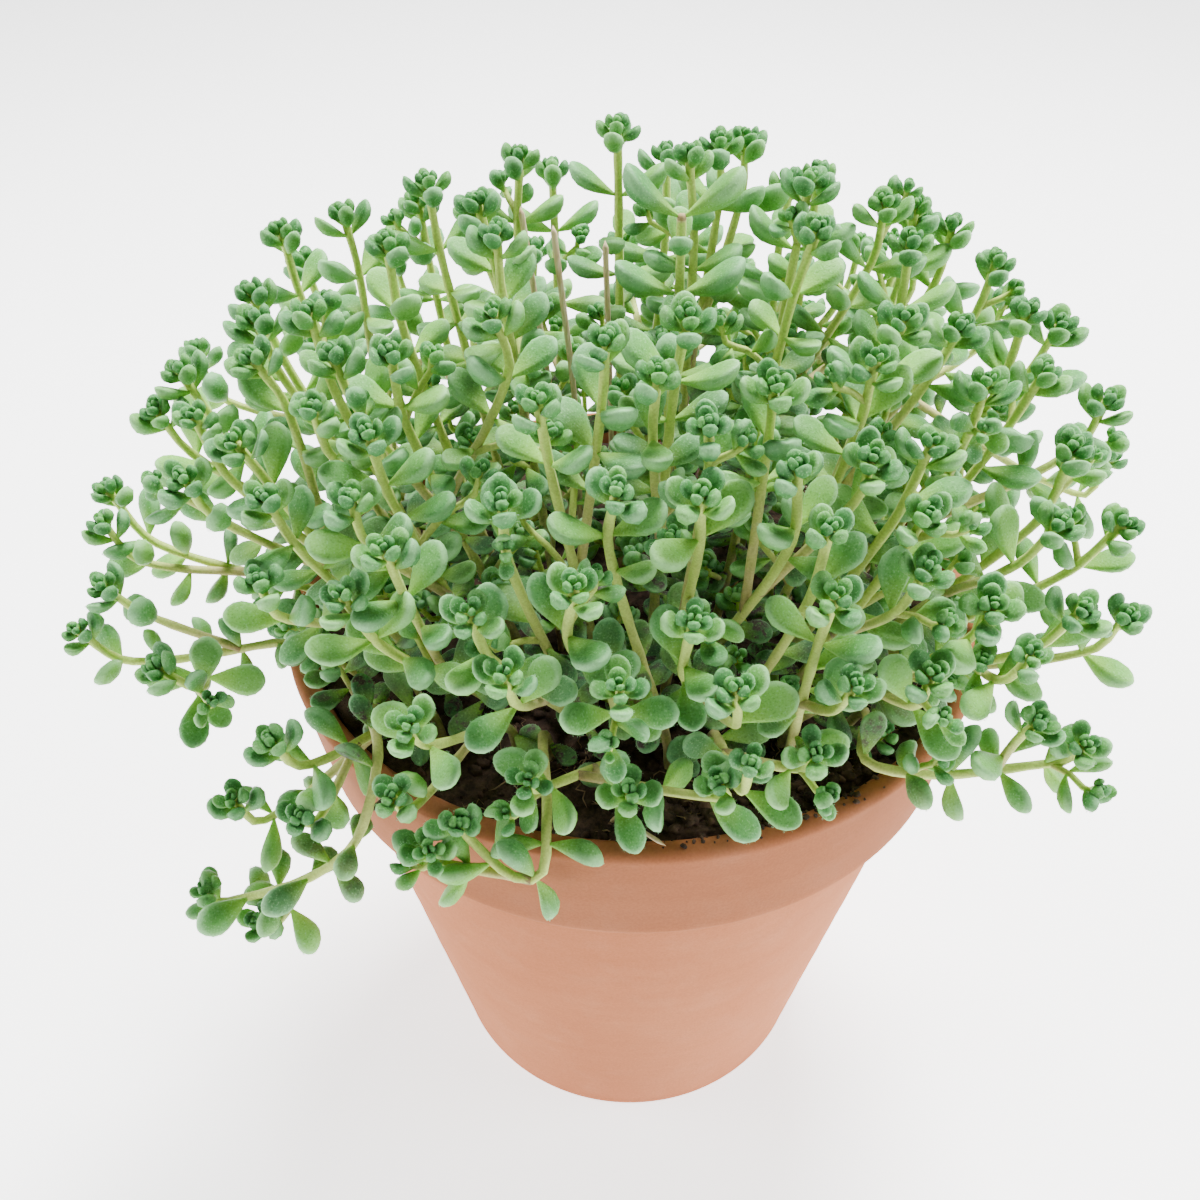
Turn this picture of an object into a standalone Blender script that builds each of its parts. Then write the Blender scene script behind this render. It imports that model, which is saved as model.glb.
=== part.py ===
"""A potted sedum: a cushion of wiry, forking shoots with plump leaves and rosettes, in a small clay pot.

Metres, +Z up, the front is -Y. The origin is on the pot's axis, in the plane that its base stands on.
A bearing is an angle about that axis, in degrees: 0 is the front and 90 is +X.
A lean is an angle from straight up, in degrees, seen from the middle of the pot's mouth.
"""

import math
import random
from collections import namedtuple

import bmesh
import bpy
import numpy as np
from mathutils import Matrix, Vector

MM = 0.001
UP = Vector((0, 0, 1))
SEED = 41

# Pot
POT_HEIGHT = 73 * MM
RIM_RADIUS = 40 * MM
COLLAR_HEIGHT = 15 * MM
COLLAR_FOOT_RADIUS = 38.1 * MM
COLLAR_CHAMFER = 0.7 * MM
BODY_TOP_RADIUS = 36 * MM
BASE_RADIUS = 25.4 * MM
BASE_CHAMFER = 0.8 * MM
MOUTH_RADIUS = 37.6 * MM
LIP_ROUND = 1.1 * MM
COLLAR_WALL = 2.8 * MM
BODY_WALL = 3.2 * MM
FLOOR = 4 * MM
FLOOR_FILLET = 1.4 * MM
DRAIN_RADIUS = 5 * MM
POT_SIDES = 30

# Soil
SOIL_GAP = 0.3 * MM
SOIL_TOP = POT_HEIGHT - 3 * MM
SOIL_BUMP = 0.5 * MM
SOIL_EDGE = 36.7 * MM
SOIL_SIDES = 15
SOIL_RINGS = (13 * MM, 27 * MM)
BED_RADIUS = 32.5 * MM

# Stems and the plain holes that they stand in
STEM_RADIUS = 0.6 * MM
BRANCH_RADIUS = 0.55 * MM
STEM_SIDES = 3
STEM_TOLERANCE = 0.34 * MM
ROOT_DEPTH = 5 * MM
HOLE_RADIUS = 1.6 * MM
HOLE_DEPTH = ROOT_DEPTH + 0.35 * MM
HOLE_SPACING = 3.7 * MM
# How far out a shoot's base is, as a share of its tips' distance from the axis
BASE_SHARE = 0.6
FIRST_RISE = 5 * MM
# The last stretch points along the rosette: its length at most, and as a share of the way to the tip
STEM_END = (9 * MM, 0.3)
BRANCH_END = (6 * MM, 0.35)
# Where the first branch leaves the stem, as a share of its length, and how much further up the next does
FORK = 0.5
TRAILING_FORK = 0.72
FORK_STEP = 0.1

# Room between shoots: what crosses another is bent further at each try
NODE_GAP = 0.36 * MM
TRIES = 40
BEND_STEP = 0.22 * MM
BASE_STEP = 0.35 * MM

# Cushion: half its width, its reach to the front and to the back, and its height over the rim
CUSHION_SIDE = 60 * MM
CUSHION_FRONT = 45 * MM
CUSHION_BACK = 44 * MM
CUSHION_TOP = 48.5 * MM

# Leaves. A pair: its distance below the tip, its leaves' length, and their rise from square in degrees
ROSETTE_PAIR = (2.4 * MM, 4.0 * MM, 38)
LONG_PAIR = (6.8 * MM, 6.0 * MM, 25)
CUT_PAIRS = ((0.3 * MM, 6.6 * MM, 35), (7.6 * MM, 6.4 * MM, 20))
LEAF_WIDTH = 0.54
LEAF_THICKNESS = 0.4
LEAF_SUNK = 0.15 * MM
SHORT_LEAF = 5.85 * MM
SHORT_LEAF_RINGS = 1
LONG_LEAF_RINGS = 2
LEAF_RISE = 0.1
# What a leaf fills, as balls: (place along it, radius as a share of half its width)
LEAF_BALLS = ((0.3, 0.5), (0.5, 0.85), (0.7, 1.05), (0.87, 0.85))
# A rosette's closed middle swells out of the stem's end: (height over the tip, radius)
BUD = ((0 * MM, 0.6 * MM), (1.1 * MM, 1.5 * MM), (2.5 * MM, 0.6 * MM))
ROSETTE_HEIGHT = 0.7 * MM
ROSETTE_RADIUS = 3.1 * MM

# A shoot forks to each of its tips: (bearing, lean) on the cushion, and how far out of it if that isn't 1.
# over: points on the way to the first tip, as (bearing, distance from the axis, height over the rim).
Shoot = namedtuple("Shoot", "tips over cut", defaults=((), False))

SHOOTS = (
    # left, over the rim
    Shoot(((-80, 69), (-75, 71))),
    Shoot(((-66, 81, 1.05), (-68, 76), (-50, 76.5))),
    Shoot(((-76, 49), (-73, 53.5))),
    Shoot(((-62, 49.5), (-61, 41))),
    Shoot(((-51, 48.5), (-56, 55))),
    Shoot(((-60, 34), (-43, 42))),
    Shoot(((-42, 52), (-38, 60))),
    Shoot(((-33, 42.5), (-31, 49))),
    Shoot(((-28, 58.5), (-25, 53))),
    Shoot(((-19, 70), (-21, 80, 0.98))),
    Shoot(((-33, 77), (-39, 89), (-30, 86))),
    # front left, over the lip and down
    Shoot(
        ((-15.7, 84, 0.94), (-18, 87.5, 0.97)),
        over=((-11, 39.5 * MM, 3 * MM), (-12, 42.6 * MM, -1.5 * MM)),
    ),
    Shoot(
        ((-42, 103, 1.095), (-36, 105, 1.09)),
        over=((-35, 39.5 * MM, 3.4 * MM), (-36, 44.5 * MM, -5 * MM)),
    ),
    # left, far side
    Shoot(((-110, 40, 1.03), (-112, 33))),
    Shoot(((-82, 38.5), (-70, 38.5))),
    Shoot(((-112, 22),)),
    Shoot(((-70, 15), (-45, 17))),
    Shoot(((-69, 24),)),
    Shoot(((-38, 34), (-47, 36.5), (-26, 27))),
    # middle
    Shoot(((-13, 36), (-5, 29))),
    Shoot(((-14, 46.5),)),
    Shoot(((-15, 57.5), (-11, 63))),
    Shoot(((-5.5, 54), (-1, 63.5))),
    Shoot(((-2, 44.5),)),
    Shoot(((9, 26), (3, 32.5))),
    Shoot(((28, 8, 0.97),), cut=True),
    Shoot(((7, 45), (9, 38))),
    Shoot(((5.5, 57), (9, 64))),
    Shoot(((10, 72), (15.5, 71.5))),
    # top, far side
    Shoot(((-170, 12, 1.04),)),
    Shoot(((150, 9), (150, 15, 1.02), (150, 20, 1.03))),
    Shoot(((58, 18),)),
    Shoot(((104, 16), (98, 23))),
    Shoot(((110, 29), (112, 35))),
    Shoot(((77, 25), (92, 35))),
    # right
    Shoot(((36, 34), (47, 31), (56, 34))),
    Shoot(((76, 38), (80, 42))),
    Shoot(((63, 42.5), (51, 40), (72, 50))),
    Shoot(((18.5, 43), (19, 34.5), (27.5, 43.5))),
    Shoot(((36, 43.5),)),
    Shoot(((20, 49.5),)),
    Shoot(((31, 50), (29, 55))),
    Shoot(((19, 56), (19.5, 65))),
    Shoot(((35, 60.5), (27, 65.5))),
    Shoot(((57, 50), (47.5, 55.5))),
    Shoot(((58, 60),)),
    Shoot(((46, 65), (53, 69), (38.5, 67))),
    Shoot(((43, 80, 1.02), (38, 75)), over=((36, 39.5 * MM, 4 * MM),)),
    # back, out of sight in the photograph
    Shoot(((128, 40), (122, 56), (106, 77))),
    Shoot(((150, 34), (146, 52), (138, 68))),
    Shoot(((172, 44), (166, 62), (178, 76))),
    Shoot(((-163, 34), (-165, 58), (-157, 72))),
    Shoot(((-140, 40), (-143, 56), (-133, 70))),
    Shoot(((-124, 50), (-108, 61))),
    Shoot(((-148, 23), (-153, 46))),
    Shoot(((174, 27), (-178, 57))),
    Shoot(((132, 24), (136, 50))),
    # front, low against the lip
    Shoot(((-9, 76, 0.95), (0, 77, 0.94), (8, 76, 0.94))),
)

Leaf = namedtuple("Leaf", "root along face length")
Axis = namedtuple("Axis", "points radius cut")


class Space:
    """Balls that fill what is already placed, each with the number of the shoot that it belongs to."""

    def __init__(self):
        self.centres = np.zeros((0, 3))
        self.radii = np.zeros(0)
        self.owners = np.zeros(0, int)

    def add(self, balls, owner):
        self.centres = np.vstack([self.centres, [tuple(centre) for centre, _ in balls]])
        self.radii = np.append(self.radii, [radius for _, radius in balls])
        self.owners = np.append(self.owners, [owner] * len(balls))

    def gap(self, balls, owner):
        """The least gap from these balls to any other shoot's."""
        centres = np.array([tuple(centre) for centre, _ in balls])
        radii = np.array([radius for _, radius in balls])
        others = self.owners != owner
        if not others.any():
            return 1.0
        apart = np.linalg.norm(centres[:, None] - self.centres[others][None], axis=2)
        return float((apart - radii[:, None] - self.radii[others][None]).min())


def cushion(bearing, lean, reach=1.0):
    """A point of the cushion's surface, and the direction out of it there."""
    turn, tilt = math.radians(bearing), math.radians(lean)
    depth = CUSHION_FRONT if math.cos(turn) > 0 else CUSHION_BACK
    x = CUSHION_SIDE * math.sin(tilt) * math.sin(turn)
    y = -depth * math.sin(tilt) * math.cos(turn)
    z = CUSHION_TOP * math.cos(tilt)
    out = Vector((x / CUSHION_SIDE**2, y / depth**2, z / CUSHION_TOP**2)).normalized()
    return Vector((x, y, z)) * reach + UP * POT_HEIGHT, out


def on_bearing(bearing, distance, height):
    """A point by its bearing, its distance from the axis and its height over the rim."""
    turn = math.radians(bearing)
    return Vector((distance * math.sin(turn), -distance * math.cos(turn), POT_HEIGHT + height))


def tip_direction(out, rng):
    """A rosette looks out of the cushion and more up, and strays a little."""
    stray = Vector((rng.uniform(-1, 1), rng.uniform(-1, 1), 0))
    return (out * 0.5 + UP * 0.8 + stray * 0.15).normalized()


def smooth_path(knots, step=0.8 * MM):
    """Points at about this step on a smooth curve through the knots."""
    ends = [knots[0] * 2 - knots[1], *knots, knots[-1] * 2 - knots[-2]]
    points = []
    for before, start, end, after in zip(ends, ends[1:], ends[2:], ends[3:]):
        span = (end - start).length
        leave = (end - before).normalized() * span
        arrive = (after - start).normalized() * span
        count = max(2, round(span / step))
        for i in range(count):
            t = i / count
            points.append(
                start * (2 * t**3 - 3 * t**2 + 1)
                + leave * (t**3 - 2 * t**2 + t)
                + end * (3 * t**2 - 2 * t**3)
                + arrive * (t**3 - t**2)
            )
    return points + [knots[-1]]


def thinned(points, tolerance):
    """The fewest of these points that keep the path within the tolerance."""
    if len(points) < 3:
        return list(points)
    start, end = points[0], points[-1]
    along = (end - start).normalized()
    off = [((p - start) - along * (p - start).dot(along)).length for p in points[1:-1]]
    worst = max(off)
    if worst < tolerance:
        return [start, end]
    split = off.index(worst) + 1
    return thinned(points[: split + 1], tolerance)[:-1] + thinned(points[split:], tolerance)


def soil_height(x, y):
    """The soil's lumpy top, lowest at the wall."""
    distance = math.hypot(x, y) / MOUTH_RADIUS
    lumps = math.sin(x / (4.3 * MM)) * math.cos(y / (5.1 * MM) + 0.8)
    return SOIL_TOP + SOIL_BUMP * (lumps - distance**4)


def pot_gap(balls):
    """The least gap from these balls to the clay and the soil."""
    least = 1.0
    for centre, radius in balls:
        distance, height = math.hypot(centre.x, centre.y), centre.z - POT_HEIGHT
        sideways = max(MOUTH_RADIUS - distance, 0, distance - RIM_RADIUS)
        lip = math.hypot(sideways, max(height, 0))
        inside = centre.z - SOIL_TOP - SOIL_BUMP if distance < MOUTH_RADIUS else 1.0
        least = min(least, lip - radius, inside - radius)
    return least


def stem_balls(points, radius):
    return [(p, radius) for p in points[::2]]


def rosette_balls(tip, direction):
    return [(tip + direction * ROSETTE_HEIGHT, ROSETTE_RADIUS)]


def leaf_balls(leaf):
    half = leaf.length * LEAF_WIDTH / 2
    return [(leaf.root + leaf.along * leaf.length * at, half * share) for at, share in LEAF_BALLS]


def sideways_of(direction, turn):
    """A unit vector square to the direction, turned about it from a level one."""
    level = direction.cross(UP)
    if level.length < 0.1:
        level = direction.cross(Vector((0, 1, 0)))
    return Matrix.Rotation(turn, 3, direction) @ level.normalized()


def bent(knots, first, last, size, rng):
    """The knots between the ends, pushed to one side."""
    push = Vector((rng.uniform(-1, 1), rng.uniform(-1, 1), rng.uniform(-0.4, 0.8))) * size
    shares = {i: 0.5 if i == first else 1 for i in range(first, last + 1)}
    return [knot + push * shares.get(i, 0) for i, knot in enumerate(knots)]


def clearest(knots, first, last, own, space, owner, radius, rng, in_soil):
    """The path through the knots, bent until it is clear of the other shoots, the clay and the soil."""
    best, best_gap = None, -1.0
    for attempt in range(TRIES):
        points = smooth_path(bent(knots, first, last, BEND_STEP * attempt, rng))
        above = [p for p in points if not in_soil or p.z > SOIL_TOP + 1.6 * MM]
        balls = stem_balls(above, radius) + own
        gap = min(space.gap(balls, owner), pot_gap(balls))
        if gap > best_gap:
            best, best_gap = points, gap
        if gap > NODE_GAP:
            break
    return best


def base_of(tips, bases, rng):
    """Where a shoot comes out of the soil: inwards of its tips, and clear of the others."""
    middle = sum((tip for tip, _ in tips), Vector()) / len(tips)
    away = min(math.hypot(middle.x, middle.y) * BASE_SHARE, BED_RADIUS)
    turn = math.atan2(middle.x, -middle.y)
    best, best_room = None, -1.0
    for attempt in range(TRIES):
        spot = Vector((away * math.sin(turn), -away * math.cos(turn), 0))
        spot += Vector((rng.uniform(-1, 1), rng.uniform(-1, 1), 0)) * BASE_STEP * attempt
        if spot.length > BED_RADIUS:
            spot *= BED_RADIUS / spot.length
        room = min([(spot - other).length for other in bases], default=1.0)
        if room > best_room:
            best, best_room = spot, room
        if room > HOLE_SPACING:
            break
    bases.append(best)
    return best + UP * SOIL_TOP


def grow_axes(shoot, owner, space, bases):
    """The stem to the first tip and a branch to each other tip."""
    rng = random.Random(SEED + owner)
    tips = [cushion(*tip) for tip in shoot.tips]
    base = base_of(tips, bases, rng)
    axes = []
    for i, (tip, out) in enumerate(tips):
        direction = UP if shoot.cut else tip_direction(out, rng)
        own = rosette_balls(tip, direction)
        if i == 0:
            outwards = Vector((tip.x - base.x, tip.y - base.y, 0)) * 0.1
            knots = [base - UP * ROOT_DEPTH, base, base + UP * FIRST_RISE + outwards]
            knots += [on_bearing(*point) for point in shoot.over]
            before = min(STEM_END[0], STEM_END[1] * (tip - knots[-1]).length)
            knots += [tip - direction * before, tip]
            first, last = 2, len(knots) - 2
            radius = STEM_RADIUS
        else:
            main = axes[0].points
            share = TRAILING_FORK if shoot.over else FORK
            start = main[round(len(main) * (share + FORK_STEP * (i - 1)))]
            before = min(BRANCH_END[0], BRANCH_END[1] * (tip - start).length)
            knots = [start, tip - direction * before, tip]
            first, last = 1, 1
            radius = BRANCH_RADIUS
        points = clearest(knots, first, last, own, space, owner, radius, rng, i == 0)
        axes.append(Axis(points, radius, shoot.cut))
        space.add(stem_balls(points, radius) + own, owner)
    return axes


def down_from_tip(points, distance):
    """The point this far down the axis from its tip, and the direction to the tip there."""
    gone = 0.0
    for above, below in zip(points[::-1], points[-2::-1]):
        step = (above - below).length
        if gone + step >= distance:
            return above.lerp(below, (distance - gone) / step), (above - below).normalized()
        gone += step
    return points[0], (points[1] - points[0]).normalized()


def pair_at(axis, distance, length, turn, rise):
    """Two opposite leaves, their flat faces to the tip, raised this many degrees from square."""
    point, direction = down_from_tip(axis.points, distance)
    lift = math.radians(rise)
    pair = []
    for half_turn in (0, math.pi):
        side = sideways_of(direction, turn + half_turn)
        along = side * math.cos(lift) + direction * math.sin(lift)
        face = direction * math.cos(lift) - side * math.sin(lift)
        pair.append(Leaf(point - along * LEAF_SUNK, along, face, length))
    return pair


def clear_pair(axis, distance, length, turn, rise, space, owner):
    """The pair, turned until both of its leaves are clear. A leaf that can't be is left out."""
    best = []
    for extra in (0, 25, -25, 50, -50, 75, -75, 90):
        pair = pair_at(axis, distance, length, turn + math.radians(extra), rise)
        kept = [
            leaf
            for leaf in pair
            if space.gap(leaf_balls(leaf), owner) > NODE_GAP and pot_gap(leaf_balls(leaf)) > NODE_GAP
        ]
        if len(kept) > len(best):
            best = kept
        if len(kept) == 2:
            break
    for leaf in best:
        space.add(leaf_balls(leaf), owner)
    return best


def grow_leaves(axes, owner, space):
    """A rosette's outer pair and the long pair below it for each axis. A cut stem has long pairs alone."""
    leaves = []
    for i, axis in enumerate(axes):
        rng = random.Random(SEED + 100 * owner + i)
        turn = 0 if axis.cut else rng.uniform(0, math.pi)
        size = rng.uniform(0.9, 1.1)
        pairs = CUT_PAIRS if axis.cut else (ROSETTE_PAIR, LONG_PAIR)
        for distance, length, rise in pairs:
            leaves += clear_pair(axis, distance, length * size, turn, rise, space, owner)
            turn += math.pi if axis.cut else math.pi / 2
    return leaves


def grow():
    """Every shoot's axes and leaves, and where each comes out of the soil."""
    space, bases = Space(), []
    axes = [grow_axes(shoot, owner, space, bases) for owner, shoot in enumerate(SHOOTS)]
    leaves = [grow_leaves(own, owner, space) for owner, own in enumerate(axes)]
    return axes, leaves, bases


def material(name, colour, roughness):
    made = bpy.data.materials.new(name)
    made.use_nodes = True
    shader = made.node_tree.nodes["Principled BSDF"]
    shader.inputs["Base Color"].default_value = (*colour, 1)
    shader.inputs["Roughness"].default_value = roughness
    shader.inputs["Metallic"].default_value = 0
    return made


def new_object(name, mesh, collection):
    made = bpy.data.objects.new(name, mesh)
    collection.objects.link(made)
    return made


def evaluated_mesh(obj):
    """A new mesh of the object as its modifiers or its curve's bevel leave it."""
    graph = bpy.context.evaluated_depsgraph_get()
    return bpy.data.meshes.new_from_object(obj.evaluated_get(graph))


def arc(x, z, radius, start, end, count):
    """Points of an arc about (x, z), from one angle to another, in degrees."""
    angles = [math.radians(start + (end - start) * i / count) for i in range(count + 1)]
    return [(x + radius * math.cos(a), z + radius * math.sin(a)) for a in angles]


def turned(name, outline, sides, collection, closed):
    """An outline at +X, turned about the Z axis."""
    mesh = bpy.data.meshes.new(name)
    edges = [(i, i + 1) for i in range(len(outline) - 1)]
    if closed:
        edges.append((len(outline) - 1, 0))
    mesh.from_pydata([(x, 0, z) for x, z in outline], edges, [])
    made = new_object(name, mesh, collection)
    screw = made.modifiers.new("Screw", "SCREW")
    screw.angle = math.tau
    screw.steps = screw.render_steps = sides
    screw.use_merge_vertices = True
    screw.merge_threshold = 0.00001
    return made


def inner_wall(gap):
    """The pot's inside from its floor to its mouth, moved inwards by the gap."""
    collar_foot = POT_HEIGHT - COLLAR_HEIGHT
    slope = (BODY_TOP_RADIUS - BASE_RADIUS) / collar_foot
    floor_radius = BASE_RADIUS + slope * FLOOR - BODY_WALL
    return [
        (floor_radius - FLOOR_FILLET - gap, FLOOR + gap),
        (floor_radius + slope * FLOOR_FILLET - gap, FLOOR + FLOOR_FILLET + gap),
        (BODY_TOP_RADIUS - BODY_WALL - gap, collar_foot - 1.5 * MM),
        (COLLAR_FOOT_RADIUS - COLLAR_WALL + 0.7 * MM - gap, collar_foot + 5 * MM),
    ]


def make_pot(collection):
    foot = POT_HEIGHT - COLLAR_HEIGHT
    lip = POT_HEIGHT - LIP_ROUND
    outline = arc(RIM_RADIUS - LIP_ROUND, lip, LIP_ROUND, 90, 0, 2)
    outline += [
        (COLLAR_FOOT_RADIUS, foot + COLLAR_CHAMFER),
        (COLLAR_FOOT_RADIUS - COLLAR_CHAMFER, foot),
        (BODY_TOP_RADIUS, foot),
        (BASE_RADIUS, BASE_CHAMFER),
        (BASE_RADIUS - BASE_CHAMFER, 0),
        (DRAIN_RADIUS, 0),
        (DRAIN_RADIUS, FLOOR),
    ]
    outline += inner_wall(0)
    outline += arc(MOUTH_RADIUS + LIP_ROUND, lip, LIP_ROUND, 180, 90, 2)
    pot = turned("pot", outline, POT_SIDES, collection, closed=True)
    pot.data.materials.append(material("terracotta", (0.62, 0.33, 0.22), 0.85))
    return pot


def make_soil(collection, cutters, bases):
    """The soil fills the pot to just under its lip, with a plain hole for each stem."""
    wall = inner_wall(SOIL_GAP)
    top = [(0, SOIL_TOP)] + [(radius, SOIL_TOP) for radius in (*SOIL_RINGS, SOIL_EDGE)]
    outline = top + wall[::-1] + [(0, wall[0][1])]
    blank = turned("soil", outline, SOIL_SIDES, collection, closed=False)
    mesh = evaluated_mesh(blank)
    bpy.data.objects.remove(blank)
    for vertex in mesh.vertices:
        if vertex.co.z > SOIL_TOP - 0.01 * MM:
            vertex.co.z = soil_height(vertex.co.x, vertex.co.y)
    soil = new_object("soil", mesh, collection)

    holes = bmesh.new()
    depth = HOLE_DEPTH + 4 * MM
    sizes = {"radius1": HOLE_RADIUS, "radius2": HOLE_RADIUS, "depth": depth}
    for base in bases:
        place = Matrix.Translation(base + UP * (SOIL_TOP - HOLE_DEPTH + depth / 2))
        bmesh.ops.create_cone(holes, cap_ends=True, segments=4, matrix=place, **sizes)
    hole_mesh = bpy.data.meshes.new("stem_holes")
    holes.to_mesh(hole_mesh)
    holes.free()
    cutter = new_object("stem_holes", hole_mesh, cutters)
    cutter.hide_render = True
    cutter.display_type = "WIRE"
    cut = soil.modifiers.new("Stem holes", "BOOLEAN")
    cut.operation = "DIFFERENCE"
    cut.object = cutter
    soil.data.materials.append(material("soil", (0.035, 0.022, 0.015), 0.95))
    return soil


def stem_profile(collection):
    """A stem's cross-section: three sides, one unit from its middle to its corners."""
    curve = bpy.data.curves.new("stem_profile", "CURVE")
    spline = curve.splines.new("POLY")
    spline.points.add(STEM_SIDES - 1)
    for i, point in enumerate(spline.points):
        turn = math.tau * i / STEM_SIDES
        point.co = (math.cos(turn), math.sin(turn), 0, 1)
    spline.use_cyclic_u = True
    profile = new_object("stem_profile", curve, collection)
    profile.hide_render = True
    return profile


def stem_object(axis, profile, collection):
    """A three-sided tube along the axis, which swells into the bud at its end."""
    places = [(point, axis.radius) for point in thinned(axis.points, STEM_TOLERANCE)]
    if not axis.cut:
        tip, direction = places[-1][0], (axis.points[-1] - axis.points[-3]).normalized()
        places[-1:] = [(tip + direction * height, radius) for height, radius in BUD]
    curve = bpy.data.curves.new("stem", "CURVE")
    curve.dimensions = "3D"
    curve.bevel_mode = "OBJECT"
    curve.bevel_object = profile
    curve.use_fill_caps = True
    spline = curve.splines.new("POLY")
    spline.points.add(len(places) - 1)
    for point, (place, radius) in zip(spline.points, places):
        point.co = (*place, 1)
        point.radius = radius
    guide = new_object("stem_guide", curve, collection)
    mesh = evaluated_mesh(guide)
    bpy.data.objects.remove(guide)
    welded = bmesh.new()
    welded.from_mesh(mesh)
    bmesh.ops.remove_doubles(welded, verts=welded.verts, dist=0.001 * MM)
    bmesh.ops.recalc_face_normals(welded, faces=welded.faces)
    welded.to_mesh(mesh)
    welded.free()
    return new_object("stem", mesh, collection)


def leaf_swell(at):
    """A leaf's half-width along it, as a share of the largest: thin at the root, blunt at the tip."""
    return max(0.0, math.sin(math.pi * at**1.8)) ** 0.6


def leaf_object(leaf, collection):
    """A club-shaped leaf of three sides: flat on its face, keeled below, widest past the middle."""
    across = leaf.along.cross(leaf.face)
    rings = SHORT_LEAF_RINGS if leaf.length < SHORT_LEAF else LONG_LEAF_RINGS
    body = bmesh.new()
    bmesh.ops.create_uvsphere(body, u_segments=3, v_segments=rings + 1, radius=1)
    for vertex in body.verts:
        x, y, z = vertex.co
        at = min(1.0, ((1 + z) / 2) ** 0.62)
        swell = leaf_swell(at) if abs(z) < 0.99 else 0
        turn = math.atan2(y, x) + math.radians(30)
        half = leaf.length * LEAF_WIDTH / 2 / math.cos(math.radians(30))
        deep = leaf.length * LEAF_THICKNESS / 1.5
        rise = leaf.length * LEAF_RISE * at**2
        vertex.co = (
            leaf.root
            + leaf.along * leaf.length * at
            + across * half * swell * math.cos(turn)
            + leaf.face * (deep * swell * math.sin(turn) + rise)
        )
    bmesh.ops.recalc_face_normals(body, faces=body.faces)
    mesh = bpy.data.meshes.new("leaf")
    body.to_mesh(mesh)
    body.free()
    return new_object("leaf", mesh, collection)


def make_shoot(name, axes, leaves, green, profile, collection, fusing):
    """The stem, with its branches, leaves and buds fused to it by one union."""
    stem = stem_object(axes[0], profile, collection)
    for axis in axes[1:]:
        stem_object(axis, profile, fusing)
    for leaf in leaves:
        leaf_object(leaf, fusing)
    union = stem.modifiers.new("Fuse", "BOOLEAN")
    union.operation = "UNION"
    union.operand_type = "COLLECTION"
    union.collection = fusing
    shoot = new_object(name, evaluated_mesh(stem), collection)
    shoot.data.materials.clear()
    shoot.data.materials.append(green)
    for spent in (stem, *fusing.objects):
        bpy.data.objects.remove(spent)
    return shoot


def main():
    for old in list(bpy.data.objects):
        bpy.data.objects.remove(old)
    scene = bpy.context.scene.collection
    parts = bpy.data.collections.new("potted_sedum")
    cutters = bpy.data.collections.new("cutters")
    fusing = bpy.data.collections.new("fusing")
    for collection in (parts, cutters, fusing):
        scene.children.link(collection)
    axes, leaves, bases = grow()
    make_pot(parts)
    make_soil(parts, cutters, bases)
    profile = stem_profile(cutters)
    green = material("leaf_green", (0.2, 0.42, 0.16), 0.5)
    for i, (own_axes, own_leaves) in enumerate(zip(axes, leaves)):
        make_shoot(f"shoot_{i + 1:02d}", own_axes, own_leaves, green, profile, parts, fusing)
    bpy.data.objects.remove(profile)
    bpy.data.collections.remove(fusing)


main()
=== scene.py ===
"""Looks of the potted sedum: fine leaves, stems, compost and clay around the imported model, with a studio."""

import math
import random
from collections import namedtuple
from itertools import accumulate

import bpy
import numpy as np
from mathutils import Matrix, Vector, noise


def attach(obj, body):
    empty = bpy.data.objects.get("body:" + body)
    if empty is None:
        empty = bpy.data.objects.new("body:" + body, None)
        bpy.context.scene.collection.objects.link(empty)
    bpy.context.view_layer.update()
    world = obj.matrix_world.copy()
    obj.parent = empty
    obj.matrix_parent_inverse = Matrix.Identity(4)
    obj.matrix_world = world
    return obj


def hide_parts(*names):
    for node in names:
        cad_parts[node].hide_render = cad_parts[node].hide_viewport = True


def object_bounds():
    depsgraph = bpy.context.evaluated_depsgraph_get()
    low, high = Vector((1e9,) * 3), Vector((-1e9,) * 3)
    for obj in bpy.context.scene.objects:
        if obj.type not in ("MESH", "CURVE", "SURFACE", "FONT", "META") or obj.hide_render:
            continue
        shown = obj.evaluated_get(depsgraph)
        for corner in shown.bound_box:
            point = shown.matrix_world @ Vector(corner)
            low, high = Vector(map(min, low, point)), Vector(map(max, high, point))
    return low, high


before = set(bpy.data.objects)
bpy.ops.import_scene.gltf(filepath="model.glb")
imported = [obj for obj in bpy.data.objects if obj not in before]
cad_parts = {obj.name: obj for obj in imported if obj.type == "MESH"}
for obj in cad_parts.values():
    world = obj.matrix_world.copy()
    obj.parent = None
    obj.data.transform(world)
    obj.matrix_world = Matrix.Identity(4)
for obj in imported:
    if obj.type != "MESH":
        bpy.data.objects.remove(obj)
cad_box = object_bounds()

MM = 0.001
UP = Vector((0, 0, 1))
# Each kind of growth adds a number of its own to this one, to seed its draws
SEED = 41

# The same sizes, table and growth as the part's source, so that each fine shoot keeps its node's form

# Pot
POT_HEIGHT = 73 * MM
RIM_RADIUS = 40 * MM
COLLAR_HEIGHT = 15 * MM
COLLAR_FOOT_RADIUS = 38.1 * MM
BODY_TOP_RADIUS = 36 * MM
BASE_RADIUS = 25.4 * MM
MOUTH_RADIUS = 37.6 * MM
COLLAR_WALL = 2.8 * MM
BODY_WALL = 3.2 * MM
FLOOR = 4 * MM
DRAIN_RADIUS = 5 * MM
BODY_HEIGHT = POT_HEIGHT - COLLAR_HEIGHT
SLOPE = (BODY_TOP_RADIUS - BASE_RADIUS) / BODY_HEIGHT
FLOOR_RADIUS = BASE_RADIUS + SLOPE * FLOOR - BODY_WALL

# Soil
SOIL_TOP = POT_HEIGHT - 3 * MM
SOIL_BUMP = 0.5 * MM
SOIL_EDGE = 36.7 * MM
BED_RADIUS = 32.5 * MM

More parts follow.
